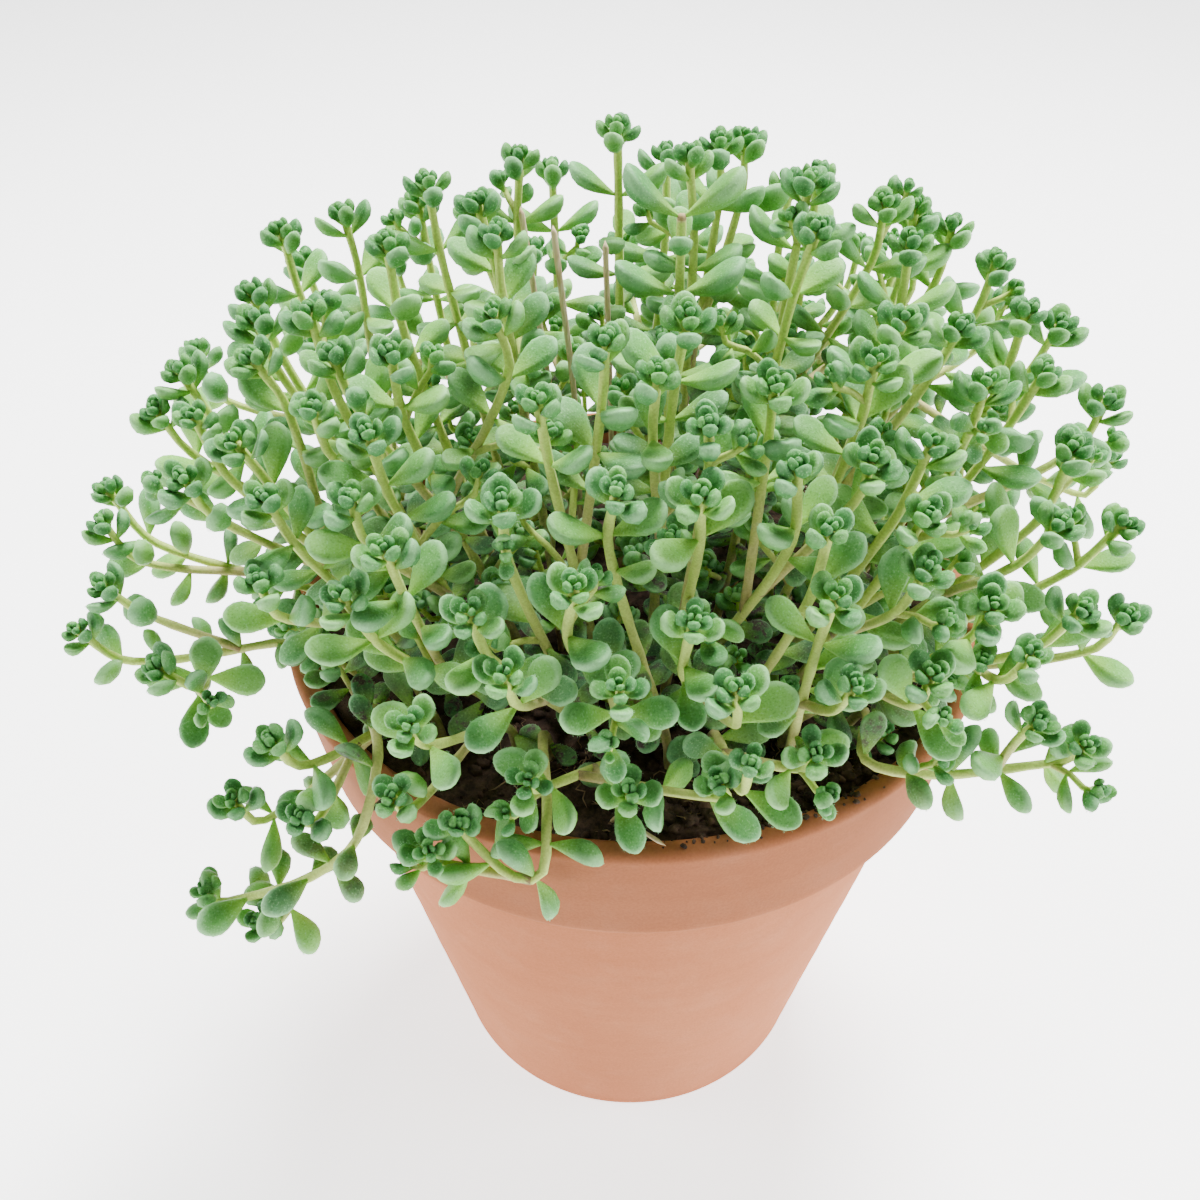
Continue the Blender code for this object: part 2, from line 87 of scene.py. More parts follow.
# Stems
STEM_RADIUS = 0.6 * MM
BRANCH_RADIUS = 0.55 * MM
ROOT_DEPTH = 5 * MM
HOLE_SPACING = 3.7 * MM
BASE_SHARE = 0.6
FIRST_RISE = 5 * MM
STEM_END = (9 * MM, 0.3)
BRANCH_END = (6 * MM, 0.35)
FORK = 0.5
TRAILING_FORK = 0.72
FORK_STEP = 0.1
NODE_GAP = 0.36 * MM
TRIES = 40
BEND_STEP = 0.22 * MM
BASE_STEP = 0.35 * MM
GAP_REACH = 8 * MM

# Cushion
CUSHION_SIDE = 60 * MM
CUSHION_FRONT = 45 * MM
CUSHION_BACK = 44 * MM
CUSHION_TOP = 48.5 * MM

# Leaves. A pair: its distance below the tip, its leaves' length, and their rise from square in degrees
ROSETTE_PAIR = (2.4 * MM, 4.0 * MM, 38)
LONG_PAIR = (6.8 * MM, 6.0 * MM, 25)
CUT_PAIRS = ((0.3 * MM, 6.6 * MM, 35), (7.6 * MM, 6.4 * MM, 20))
LEAF_WIDTH = 0.54
LEAF_SUNK = 0.15 * MM
LEAF_RISE = 0.1
LEAF_BALLS = ((0.3, 0.5), (0.5, 0.85), (0.7, 1.05), (0.87, 0.85))
ROSETTE_HEIGHT = 0.7 * MM
ROSETTE_RADIUS = 3.1 * MM

Shoot = namedtuple("Shoot", "tips over cut", defaults=((), False))

SHOOTS = (
    # left, over the rim
    Shoot(((-80, 69), (-75, 71))),
    Shoot(((-66, 81, 1.05), (-68, 76), (-50, 76.5))),
    Shoot(((-76, 49), (-73, 53.5))),
    Shoot(((-62, 49.5), (-61, 41))),
    Shoot(((-51, 48.5), (-56, 55))),
    Shoot(((-60, 34), (-43, 42))),
    Shoot(((-42, 52), (-38, 60))),
    Shoot(((-33, 42.5), (-31, 49))),
    Shoot(((-28, 58.5), (-25, 53))),
    Shoot(((-19, 70), (-21, 80, 0.98))),
    Shoot(((-33, 77), (-39, 89), (-30, 86))),
    # front left, over the lip and down
    Shoot(
        ((-15.7, 84, 0.94), (-18, 87.5, 0.97)),
        over=((-11, 39.5 * MM, 3 * MM), (-12, 42.6 * MM, -1.5 * MM)),
    ),
    Shoot(
        ((-42, 103, 1.095), (-36, 105, 1.09)),
        over=((-35, 39.5 * MM, 3.4 * MM), (-36, 44.5 * MM, -5 * MM)),
    ),
    # left, far side
    Shoot(((-110, 40, 1.03), (-112, 33))),
    Shoot(((-82, 38.5), (-70, 38.5))),
    Shoot(((-112, 22),)),
    Shoot(((-70, 15), (-45, 17))),
    Shoot(((-69, 24),)),
    Shoot(((-38, 34), (-47, 36.5), (-26, 27))),
    # middle
    Shoot(((-13, 36), (-5, 29))),
    Shoot(((-14, 46.5),)),
    Shoot(((-15, 57.5), (-11, 63))),
    Shoot(((-5.5, 54), (-1, 63.5))),
    Shoot(((-2, 44.5),)),
    Shoot(((9, 26), (3, 32.5))),
    Shoot(((28, 8, 0.97),), cut=True),
    Shoot(((7, 45), (9, 38))),
    Shoot(((5.5, 57), (9, 64))),
    Shoot(((10, 72), (15.5, 71.5))),
    # top, far side
    Shoot(((-170, 12, 1.04),)),
    Shoot(((150, 9), (150, 15, 1.02), (150, 20, 1.03))),
    Shoot(((58, 18),)),
    Shoot(((104, 16), (98, 23))),
    Shoot(((110, 29), (112, 35))),
    Shoot(((77, 25), (92, 35))),
    # right
    Shoot(((36, 34), (47, 31), (56, 34))),
    Shoot(((76, 38), (80, 42))),
    Shoot(((63, 42.5), (51, 40), (72, 50))),
    Shoot(((18.5, 43), (19, 34.5), (27.5, 43.5))),
    Shoot(((36, 43.5),)),
    Shoot(((20, 49.5),)),
    Shoot(((31, 50), (29, 55))),
    Shoot(((19, 56), (19.5, 65))),
    Shoot(((35, 60.5), (27, 65.5))),
    Shoot(((57, 50), (47.5, 55.5))),
    Shoot(((58, 60),)),
    Shoot(((46, 65), (53, 69), (38.5, 67))),
    Shoot(((43, 80, 1.02), (38, 75)), over=((36, 39.5 * MM, 4 * MM),)),
    # back, out of sight in the photograph
    Shoot(((128, 40), (122, 56), (106, 77))),
    Shoot(((150, 34), (146, 52), (138, 68))),
    Shoot(((172, 44), (166, 62), (178, 76))),
    Shoot(((-163, 34), (-165, 58), (-157, 72))),
    Shoot(((-140, 40), (-143, 56), (-133, 70))),
    Shoot(((-124, 50), (-108, 61))),
    Shoot(((-148, 23), (-153, 46))),
    Shoot(((174, 27), (-178, 57))),
    Shoot(((132, 24), (136, 50))),
    # front, low against the lip
    Shoot(((-9, 76, 0.95), (0, 77, 0.94), (8, 76, 0.94))),
)

Leaf = namedtuple("Leaf", "root along face length")
Axis = namedtuple("Axis", "points radius cut")

# What only the fine model has. A rosette's inner pairs, inwards: (distance below the tip, length, rise)
ROSETTE_PAIRS = (
    (1.4 * MM, 3.2 * MM, 40),
    (0.8 * MM, 2.5 * MM, 47),
    (0.3 * MM, 1.85 * MM, 56),
    (-0.1 * MM, 1.3 * MM, 69),
)
CUT_SMALL_PAIR = (3.4 * MM, 4.6 * MM, 32)
# A side shoot's pairs under its rosette, downwards: distance, length, rise and age
TWIG_PAIRS = (
    (1.7 * MM, 3.4 * MM, 38, 0.25),
    (3.9 * MM, 4.6 * MM, 28, 0.36),
    (7.2 * MM, 5.2 * MM, 18, 0.45),
)
# Pairs down a shoot's stem: where they start and their first age, how much older, flatter and shorter each
# one is, and in mm the first's and the shortest's leaves and the steps between them
LOWER_START = 11.2 * MM
CUT_LOWER_START = 11.8 * MM
LOWER_AGE = 0.42
LOWER_OLDER = 0.11
LOWER_FLATTER = 7
LOWER_SHORTER = 0.22
LOWER_LENGTHS = (6.1, 4.2)
LOWER_STEPS = (3.4, 5.0)
OWN_AGES = (0.28, 0.4)
FINE_ROSETTE = 2.0 * MM
BARE_BASE = 6 * MM
CLOSE = 0.02 * MM
STEM_THIN = 0.86
STEM_STEP = 2
FINE_STEM_SIDES = 7
TWIG_RADIUS = 0.4 * MM
TWIG_BALL = (0.9 * MM, 1.9 * MM)
TWIG_TRIES = 10
LEAF_UPPER = 0.13
LEAF_LOWER = 0.24
LOW_PIECES = 2
# How likely side shoots and clusters of rosettes are, and how far out side shoots may end: at the front, and
# less at the sides and far left
BRANCHING = 0.37
CLUSTERED = 0.44
INFILL = (0.83, 0.13, 0.16)
REACHES = (3.5, 5, 6.5, 8.5, 10.5)
# Painted shade: side shoots that end this deep inside the cushion are given extra age, so their greyer, darker
# leaves stand for the shade inside the plant as well as for real age
DEEP = 0.6
DEEP_AGE_AND_SHADE = 0.2
LOW_SHOOTS = 300
# Painted shade: the low shoots under the others are given this much age, so they are greyer and darker than
# young shoots would be
LOW_SHADE_AGE = 0.45
LOW_REACH = 36 * MM
LOW_FOOT = UP * 2 * MM
LOW_TAG = 100000
# Bearings from and to where no low shoots stand, and from what distance outwards
BARE_FRONT = (2, 46, 31.5 * MM)
BOX_MARGIN = 0.8 * MM

# Dark openings in the front of the foliage, where only the nodes' own leaves grow: middle and radius, in mm
OPENINGS = (
    ((-6.5, -25, 95), 9),
    ((9.7, -23, 92), 8.5),
    ((9.2, -31, 87), 6),
    ((-9, -33, 78), 7.5),
    ((-17.7, -30, 79), 6.5),
)
BOX_LOW, BOX_HIGH = (np.array(corner) for corner in cad_box)


def rows(balls):
    return np.array([(*centre, radius) for centre, radius in balls])


class Space:
    """Balls that fill what is already placed, each with the number of its shoot."""

    def __init__(self):
        self.balls = np.zeros((0, 4))
        self.owners = np.zeros(0, int)

    def add(self, balls, owner):
        self.balls = np.vstack([self.balls, rows(balls)])
        self.owners = np.append(self.owners, [owner] * len(balls))

    def gap(self, balls, owner):
        """The least gap from these balls to any other shoot's, or 1 where none is near."""
        own, places = rows(balls), self.balls[:, :3]
        low, high = own[:, :3].min(axis=0) - GAP_REACH, own[:, :3].max(axis=0) + GAP_REACH
        near = (places > low).all(axis=1) & (places < high).all(axis=1) & (self.owners != owner)
        if not near.any():
            return 1.0
        others = self.balls[near]
        apart = np.linalg.norm(own[:, None, :3] - others[None, :, :3], axis=2)
        return float((apart - own[:, None, 3] - others[None, :, 3]).min())


def cushion(bearing, lean, reach=1.0):
    """A point of the cushion's surface, and the direction out of it there."""
    turn, tilt = math.radians(bearing), math.radians(lean)
    depth = CUSHION_FRONT if math.cos(turn) > 0 else CUSHION_BACK
    x = CUSHION_SIDE * math.sin(tilt) * math.sin(turn)
    y = -depth * math.sin(tilt) * math.cos(turn)
    z = CUSHION_TOP * math.cos(tilt)
    out = Vector((x / CUSHION_SIDE**2, y / depth**2, z / CUSHION_TOP**2)).normalized()
    return Vector((x, y, z)) * reach + UP * POT_HEIGHT, out


def inside_cushion(point):
    """How far out a point is, as a share of the way to the cushion's surface."""
    depth = CUSHION_FRONT if point.y < 0 else CUSHION_BACK
    high = point.z - POT_HEIGHT
    return math.sqrt((point.x / CUSHION_SIDE) ** 2 + (point.y / depth) ** 2 + (high / CUSHION_TOP) ** 2)


def around(distance, turn):
    """The x and y at this distance from the axis, on a bearing in radians."""
    return distance * math.sin(turn), -distance * math.cos(turn)


def on_bearing(bearing, distance, height):
    """A point by its bearing, its distance from the axis and its height over the rim."""
    return Vector((*around(distance, math.radians(bearing)), POT_HEIGHT + height))


def level_stray(rng):
    return Vector((rng.uniform(-1, 1), rng.uniform(-1, 1), 0))


def tip_direction(out, rng):
    """A rosette looks out of the cushion and more up, and strays a little."""
    return (out * 0.5 + UP * 0.8 + level_stray(rng) * 0.15).normalized()


def smooth_path(knots, step=0.8 * MM):
    """Points at about this step on a smooth curve through the knots."""
    ends = [knots[0] * 2 - knots[1], *knots, knots[-1] * 2 - knots[-2]]
    points = []
    for before, start, end, after in zip(ends, ends[1:], ends[2:], ends[3:]):
        span = (end - start).length
        leave = (end - before).normalized() * span
        arrive = (after - start).normalized() * span
        count = max(2, round(span / step))
        for i in range(count):
            t = i / count
            points.append(
                start * (2 * t**3 - 3 * t**2 + 1)
                + leave * (t**3 - 2 * t**2 + t)
                + end * (3 * t**2 - 2 * t**3)
                + arrive * (t**3 - t**2)
            )
    return points + [knots[-1]]


def soil_height(x, y):
    """The soil's lumpy top, lowest at the wall."""
    distance = math.hypot(x, y) / MOUTH_RADIUS
    lumps = math.sin(x / (4.3 * MM)) * math.cos(y / (5.1 * MM) + 0.8)
    return SOIL_TOP + SOIL_BUMP * (lumps - distance**4)


def pot_gap(balls):
    """The least gap from these balls to the clay and the soil."""
    least = 1.0
    for centre, radius in balls:
        distance, height = math.hypot(centre.x, centre.y), centre.z - POT_HEIGHT
        sideways = max(MOUTH_RADIUS - distance, 0, distance - RIM_RADIUS)
        lip = math.hypot(sideways, max(height, 0))
        inside = centre.z - SOIL_TOP - SOIL_BUMP if distance < MOUTH_RADIUS else 1.0
        least = min(least, lip - radius, inside - radius)
    return least


def stem_balls(points, radius):
    return [(p, radius) for p in points[::2]]


def rosette_balls(tip, direction, radius=ROSETTE_RADIUS):
    return [(tip + direction * ROSETTE_HEIGHT, radius)]


def leaf_balls(leaf):
    half = leaf.length * LEAF_WIDTH / 2
    return [(leaf.root + leaf.along * leaf.length * at, half * share) for at, share in LEAF_BALLS]


def sideways_of(direction, turn):
    """A unit vector square to the direction, turned about it from a level one."""
    level = direction.cross(UP)
    if level.length < 0.1:
        level = direction.cross(Vector((0, 1, 0)))
    return Matrix.Rotation(turn, 3, direction) @ level.normalized()


def bent(knots, first, last, size, rng):
    """The knots between the ends, pushed to one side."""
    push = Vector((rng.uniform(-1, 1), rng.uniform(-1, 1), rng.uniform(-0.4, 0.8))) * size
    shares = {i: 0.5 if i == first else 1 for i in range(first, last + 1)}
    return [knot + push * shares.get(i, 0) for i, knot in enumerate(knots)]


def clearest(knots, first, last, own, space, owner, radius, rng, in_soil):
    """The path through the knots, bent until it is clear of the other shoots, the clay and the soil."""
    best, best_gap = None, -1.0
    for attempt in range(TRIES):
        points = smooth_path(bent(knots, first, last, BEND_STEP * attempt, rng))
        above = [p for p in points if not in_soil or p.z > SOIL_TOP + 1.6 * MM]
        balls = stem_balls(above, radius) + own
        gap = min(space.gap(balls, owner), pot_gap(balls))
        if gap > best_gap:
            best, best_gap = points, gap
        if gap > NODE_GAP:
            break
    return best


def base_of(tips, bases, rng):
    """Where a shoot comes out of the soil: inwards of its tips, and clear of the others."""
    middle = sum((tip for tip, _ in tips), Vector()) / len(tips)
    away = min(math.hypot(middle.x, middle.y) * BASE_SHARE, BED_RADIUS)
    turn = math.atan2(middle.x, -middle.y)
    best, best_room = None, -1.0
    for attempt in range(TRIES):
        spot = Vector((*around(away, turn), 0))
        spot += level_stray(rng) * BASE_STEP * attempt
        if spot.length > BED_RADIUS:
            spot *= BED_RADIUS / spot.length
        room = min([(spot - other).length for other in bases], default=1.0)
        if room > best_room:
            best, best_room = spot, room
        if room > HOLE_SPACING:
            break
    bases.append(best)
    return best + UP * SOIL_TOP


def grow_axes(shoot, owner, space, bases):
    """The stem to the first tip and a branch to each other tip."""
    rng = random.Random(SEED + owner)
    tips = [cushion(*tip) for tip in shoot.tips]
    base = base_of(tips, bases, rng)
    axes = []
    for i, (tip, out) in enumerate(tips):
        direction = UP if shoot.cut else tip_direction(out, rng)
        own = rosette_balls(tip, direction)
        if i == 0:
            outwards = Vector((tip.x - base.x, tip.y - base.y, 0)) * 0.1
            knots = [base - UP * ROOT_DEPTH, base, base + UP * FIRST_RISE + outwards]
            knots += [on_bearing(*point) for point in shoot.over]
            before = min(STEM_END[0], STEM_END[1] * (tip - knots[-1]).length)
            knots += [tip - direction * before, tip]
            first, last = 2, len(knots) - 2
            radius = STEM_RADIUS
        else:
            main = axes[0].points
            share = TRAILING_FORK if shoot.over else FORK
            start = main[round(len(main) * (share + FORK_STEP * (i - 1)))]
            before = min(BRANCH_END[0], BRANCH_END[1] * (tip - start).length)
            knots = [start, tip - direction * before, tip]
            first, last = 1, 1
            radius = BRANCH_RADIUS
        points = clearest(knots, first, last, own, space, owner, radius, rng, i == 0)
        axes.append(Axis(points, radius, shoot.cut))
        space.add(stem_balls(points, radius) + own, owner)
    return axes


def down_from_tip(points, distance):
    """The point this far down the axis from its tip, and the direction to the tip there."""
    if distance < 0:
        direction = (points[-1] - points[-3]).normalized()
        return points[-1] - direction * distance, direction
    gone = 0.0
    for above, below in zip(points[::-1], points[-2::-1]):
        step = (above - below).length
        if gone + step >= distance:
            return above.lerp(below, (distance - gone) / step), (above - below).normalized()
        gone += step
    return points[0], (points[1] - points[0]).normalized()


def pair_at(axis, distance, length, turn, rise):
    """Two opposite leaves, their flat faces to the tip, raised this many degrees from square."""
    point, direction = down_from_tip(axis.points, distance)
    lift = math.radians(rise)
    pair = []
    for half_turn in (0, math.pi):
        side = sideways_of(direction, turn + half_turn)
        along = side * math.cos(lift) + direction * math.sin(lift)
        face = direction * math.cos(lift) - side * math.sin(lift)
        pair.append(Leaf(point - along * LEAF_SUNK, along, face, length))
    return pair


def clear_pair(axis, distance, length, turn, rise, space, owner, room=NODE_GAP):
    """The pair, turned until both of its leaves are clear. A leaf that can't be is left out."""
    best = []
    for extra in (0, 25, -25, 50, -50, 75, -75, 90):
        pair = pair_at(axis, distance, length, turn + math.radians(extra), rise)
        kept = [
            leaf
            for leaf in pair
            if space.gap(leaf_balls(leaf), owner) > room and pot_gap(leaf_balls(leaf)) > room
        ]
        if len(kept) > len(best):
            best = kept
        if len(kept) == 2:
            break
    for leaf in best:
        space.add(leaf_balls(leaf), owner)
    return best


def turn_and_size(axis, owner, i):
    """How far an axis's leaf pairs are turned about it, and their size."""
    rng = random.Random(SEED + 100 * owner + i)
    turn = 0 if axis.cut else rng.uniform(0, math.pi)
    return turn, rng.uniform(0.9, 1.1)


def grow_leaves(axes, owner, space):
    """Each axis's own leaves: a rosette's outer pair and a long pair, or long pairs on a cut stem."""
    leaves = []
    for i, axis in enumerate(axes):
        turn, size = turn_and_size(axis, owner, i)
        own = []
        pairs = CUT_PAIRS if axis.cut else (ROSETTE_PAIR, LONG_PAIR)
        for distance, length, rise in pairs:
            own.append(clear_pair(axis, distance, length * size, turn, rise, space, owner))
            turn += math.pi if axis.cut else math.pi / 2
        leaves.append(own)
    return leaves


# Finer growth. A sprig is an axis with its leaves, each with an age: 0 in a bud and 1 low on an old stem.
# Shoots deep inside and low under the plant are given extra age, partly as painted shade
Sprig = namedtuple("Sprig", "axis leaves aged")


def steps(points):
    return [(b - a).length for a, b in zip(points, points[1:])]


def rosette(axis, turn, size, rng, first=0):
    """The inner pairs of a rosette, each a quarter turn from the next. Some are more open than others."""
    found = []
    opened = rng.uniform(-9, 7)
    for k, (distance, length, rise) in enumerate(ROSETTE_PAIRS):
        if k < first:
            continue
        quarter = turn + (k + 1) * math.pi / 2 + rng.uniform(-0.15, 0.15)
        grown = length * size * rng.uniform(0.9, 1.08)
        for leaf in pair_at(axis, distance * size, grown, quarter, rise + opened):
            found.append((leaf, 0.2 * (1 - k / len(ROSETTE_PAIRS))))
    return found


def lower_pairs(axis, turn, size, start, space, owner, rng):
    """Pairs further down the stem, older and flatter towards the base."""
    found = []
    reach = sum(steps(axis.points)) - BARE_BASE
    distance, k = start, 1
    while distance < reach:
        age = min(1.0, LOWER_AGE + LOWER_OLDER * k + rng.uniform(-0.1, 0.1))
        longest = max(LOWER_LENGTHS[1], LOWER_LENGTHS[0] - LOWER_SHORTER * k)
        length = size * longest * MM * rng.uniform(0.82, 1.08)
        rise = 20 - LOWER_FLATTER * k + rng.uniform(-12, 12)
        pair = clear_pair(axis, distance, length, turn + k * math.pi / 2, rise, space, owner, CLOSE)
        found += [(leaf, age) for leaf in pair if not in_opening(leaf.root + leaf.along * leaf.length * 0.7)]
        distance += rng.uniform(*LOWER_STEPS) * MM
        k += 1
    return found


def in_opening(point):
    return any((point - Vector(middle) * MM).length < radius * MM for middle, radius in OPENINGS)


def clamped(value):
    return min(1, max(0, value))


def infill_limit(point):
    """How far out side shoots fill the cushion: less at its sides and far left, where the plant is airy."""
    sideways = clamped(abs(point.x) / (25 * MM) - 1)
    far_left = clamped(-point.x / (20 * MM)) * clamped((point.y + 12 * MM) / (15 * MM))
    return INFILL[0] - INFILL[1] * sideways - INFILL[2] * far_left


def inside_box(points, margin=0.0):
    return (points > BOX_LOW + margin).all() and (points < BOX_HIGH - margin).all()


def allowed(end, middle):
    """Whether a side shoot may end here: inside the solids' box and outside the dark openings."""
    return not in_opening(middle) and inside_box(np.array([end, middle]), BOX_MARGIN)


def twig_axis(knots, balls, space, owner):
    """The axis through the knots, with its stem and these balls put into the space."""
    made = Axis(smooth_path(knots), TWIG_RADIUS, False)
    space.add(stem_balls(made.points[2:], TWIG_RADIUS) + balls, owner)
    return made


def twig(axis, distance, reach, turn, size, space, owner, rng, beyond=0.0):
    """The axis of a short side shoot with room for a small rosette, or None where there is no room."""
    point, direction = down_from_tip(axis.points, distance)
    proud = 0.11 if rng.random() < 0.3 else beyond
    for attempt in range(TWIG_TRIES):
        side = sideways_of(direction, turn + attempt * math.tau / TWIG_TRIES)
        along = (side + direction * rng.uniform(0.4, 1.1) + UP * 0.45).normalized()
        end = point + along * reach
        top = (along * 0.55 + UP * 0.8).normalized()
        middle = end + top * TWIG_BALL[0] * size
        balls = [(middle, TWIG_BALL[1] * size), (end - top * 1.5 * MM, 0.8 * MM)]
        if inside_cushion(middle) > infill_limit(middle) + proud or not allowed(end, middle):
            continue
        if min(space.gap(balls, owner), pot_gap(balls)) < CLOSE:
            continue
        knots = [point, point + along * reach * 0.45, end - top * reach * 0.22, end]
        return twig_axis(knots, balls, space, owner)
    return None


def dress_twig(made, size, reach, space, tag, rng, older=0.0):
    """A small rosette on a side shoot, and as many pairs below it as its length has room for."""
    turn = rng.uniform(0, math.pi)
    # The extra age makes leaves greyer and stems browner: real age, and painted shade for shoots deep in or
    # low under the plant
    found = [(leaf, age + older) for leaf, age in rosette(made, turn, size, rng, first=1)]
    for k, (distance, length, rise, age) in enumerate(TWIG_PAIRS):
        if distance * size > reach - 0.8 * MM:
            break
        quarter = turn + k * math.pi / 2
        grown = length * size * rng.uniform(0.9, 1.1)
        pair = clear_pair(made, distance * size, grown, quarter, rise, space, tag, CLOSE)
        found += [(leaf, age + older) for leaf in pair]
    return Sprig(made, found, 0.3 + older)


def dress(axes, leaves, owner, space):
    """A shoot's own axes with their leaves, the rest of each rosette, and pairs further down."""
    sprigs = []
    for i, (axis, own) in enumerate(zip(axes, leaves)):
        rng = random.Random(SEED + 7000 + 100 * owner + i)
        turn, size = turn_and_size(axis, owner, i)
        tag = 100 * owner + i
        found = [(leaf, age) for age, pair in zip(OWN_AGES, own) for leaf in pair]
        if axis.cut:
            distance, length, rise = CUT_SMALL_PAIR
            pair = clear_pair(axis, distance, length, turn + math.pi / 2, rise, space, tag, CLOSE)
            found += [(leaf, 0.35) for leaf in pair]
            found += lower_pairs(axis, turn, size, CUT_LOWER_START, space, tag, rng)
        else:
            found += rosette(axis, turn, size, rng)
            found += lower_pairs(axis, turn + math.pi / 2, size, LOWER_START, space, tag, rng)
        sprigs.append(Sprig(axis, found, 0.5))
    return sprigs


def clusters(sprigs, owner, space):
    """Small rosettes close under the tips."""
    added = []
    for i, sprig in enumerate(sprigs):
        rng = random.Random(SEED + 12000 + 100 * owner + i)
        if sprig.axis.cut or rng.random() > CLUSTERED:
            continue
        for _ in range(2):
            size = rng.uniform(0.75, 1.0)
            distance, reach = rng.uniform(3.2, 6.5) * MM, rng.uniform(3.2, 5.2) * MM
            tag = 100 * owner + 60 + len(added)
            made = twig(sprig.axis, distance, reach, rng.uniform(0, math.tau), size, space, tag, rng, 0.5)
            if made:
                added.append(dress_twig(made, size, reach, space, tag, rng))
    return added


def side_shoots(sprigs, owner, space):
    """Short side shoots in the room that is left."""
    added = []
    for i, sprig in enumerate(sprigs):
        rng = random.Random(SEED + 9000 + 100 * owner + i)
        long = sum(steps(sprig.axis.points))
        distance = rng.uniform(4.5, 7) * MM
        while distance < long - 5 * MM:
            size = rng.uniform(0.8, 1.1)
            reach = rng.choice(REACHES) * MM
            tag = 100 * owner + 10 + len(added)
            turn = rng.uniform(0, math.tau)
            made = None
            if rng.random() < BRANCHING:
                made = twig(sprig.axis, distance, reach, turn, size, space, tag, rng)
            if made:
                # Painted shade: a shoot that ends deep inside the cushion is aged, so its leaves are greyer
                # and darker
                older = DEEP_AGE_AND_SHADE if inside_cushion(made.points[-1]) < DEEP else 0
                added.append(dress_twig(made, size, reach, space, tag, rng, older))
                distance += rng.uniform(2.5, 5) * MM
            else:
                distance += 1.7 * MM
    return added


def low_shoots(space):
    """Young shoots straight out of the soil under the others, in the room that is left, aged greyer as painted
    shade.
    """
    rng = random.Random(SEED + 20000)
    found = []
    for n in range(LOW_SHOOTS):
        bearing = rng.uniform(-180, 180) if n % 2 else rng.uniform(-70, 40)
        away = LOW_REACH * math.sqrt(rng.uniform(0.1, 1))
        if BARE_FRONT[0] < bearing < BARE_FRONT[1] and away > BARE_FRONT[2]:
            continue
        size = rng.uniform(0.85, 1.1)
        high = rng.uniform(5, 16) * MM
        base = on_bearing(bearing, away, 0)
        base.z = SOIL_TOP
        out = (on_bearing(bearing, 1, 0) - UP * POT_HEIGHT) * rng.uniform(0.1, 0.75)
        sway = Vector((rng.uniform(-0.3, 0.3), rng.uniform(-0.3, 0.3), 0))
        along = (out + sway + UP).normalized()
        foot = base + LOW_FOOT
        end = foot + along * high
        top = (along * 0.6 + UP * 0.6).normalized()
        middle = end + top * TWIG_BALL[0] * size
        balls = [(middle, TWIG_BALL[1] * size), (end - top * 2 * MM, 0.8 * MM), (foot, 0.6 * MM)]
        tag = LOW_TAG + n
        if not allowed(end, middle) or pot_gap(balls[:1]) < CLOSE or space.gap(balls, tag) < CLOSE:
            continue
        knots = [base - LOW_FOOT, base + UP * MM, foot + along * high * 0.5, end]
        made = twig_axis(knots, balls, space, tag)
        # Painted shade: the low shoots are aged, so their leaves are greyer and their stems browner
        found.append(dress_twig(made, size, high, space, tag, rng, LOW_SHADE_AGE))
    return found


def grow():
    """The sprigs of every shoot in the order of the table, and those of the low shoots."""
    space, bases = Space(), []
    axes = [grow_axes(shoot, owner, space, bases) for owner, shoot in enumerate(SHOOTS)]
    leaves = [grow_leaves(own, owner, space) for owner, own in enumerate(axes)]
    # From here each axis counts as its own, so that the branches of one shoot stay clear of each other too
    fine = Space()
    for owner, own in enumerate(axes):
        for i, axis in enumerate(own):
            tip = axis.points[-1]
            direction = (tip - axis.points[-3]).normalized()
            balls = stem_balls(axis.points[4:], axis.radius)
            balls += rosette_balls(tip, direction, FINE_ROSETTE)
            for pair in leaves[owner][i]:
                for leaf in pair:
                    balls += leaf_balls(leaf)
            fine.add(balls, 100 * owner + i)
    sprigs = [dress(axes[owner], leaves[owner], owner, fine) for owner in range(len(SHOOTS))]
    for owner, own in enumerate(sprigs):
        own += clusters(own, owner, fine)
    low = low_shoots(fine)
    for owner, own in enumerate(sprigs):
        own += side_shoots(own, owner, fine)
    return sprigs, low


def linked(name, data):
    """A new object in the scene."""
    made = bpy.data.objects.new(name, data)
    bpy.context.scene.collection.objects.link(made)
    return made


def new_mesh(name, points, edges, faces, materials):
    mesh = bpy.data.meshes.new(name)
    mesh.from_pydata(points, edges, faces)
    for material in materials:
        mesh.materials.append(material)
    return mesh


class Skin:
    """Gathers triangles with their points' values, to become one mesh."""

    VALUES = ("along", "edge", "tint", "age")

    def __init__(self):
        self.points, self.faces, self.slots = [], [], []
        self.values = {name: [] for name in self.VALUES}
        self.count = 0

    def add(self, points, faces, slot, **values):
        points = np.asarray(points, float).reshape(-1, 3)
        self.points.append(points)
        self.faces.append(np.asarray(faces, int) + self.count)
        self.slots.append(np.full(len(faces), slot))
        for name in self.VALUES:
            self.values[name].append(np.broadcast_to(values.get(name, 0.0), len(points)))
        self.count += len(points)

    def build(self, name, materials):
        mesh = new_mesh(name, np.concatenate(self.points), [], np.concatenate(self.faces), materials)
        for value, parts in self.values.items():
            layer = mesh.attributes.new(value, "FLOAT", "POINT")
            layer.data.foreach_set("value", np.concatenate(parts).astype(np.float32))
        mesh.polygons.foreach_set("material_index", np.concatenate(self.slots).astype(np.int32))
        mesh.shade_smooth()
        mesh.validate()
        return linked(name, mesh)


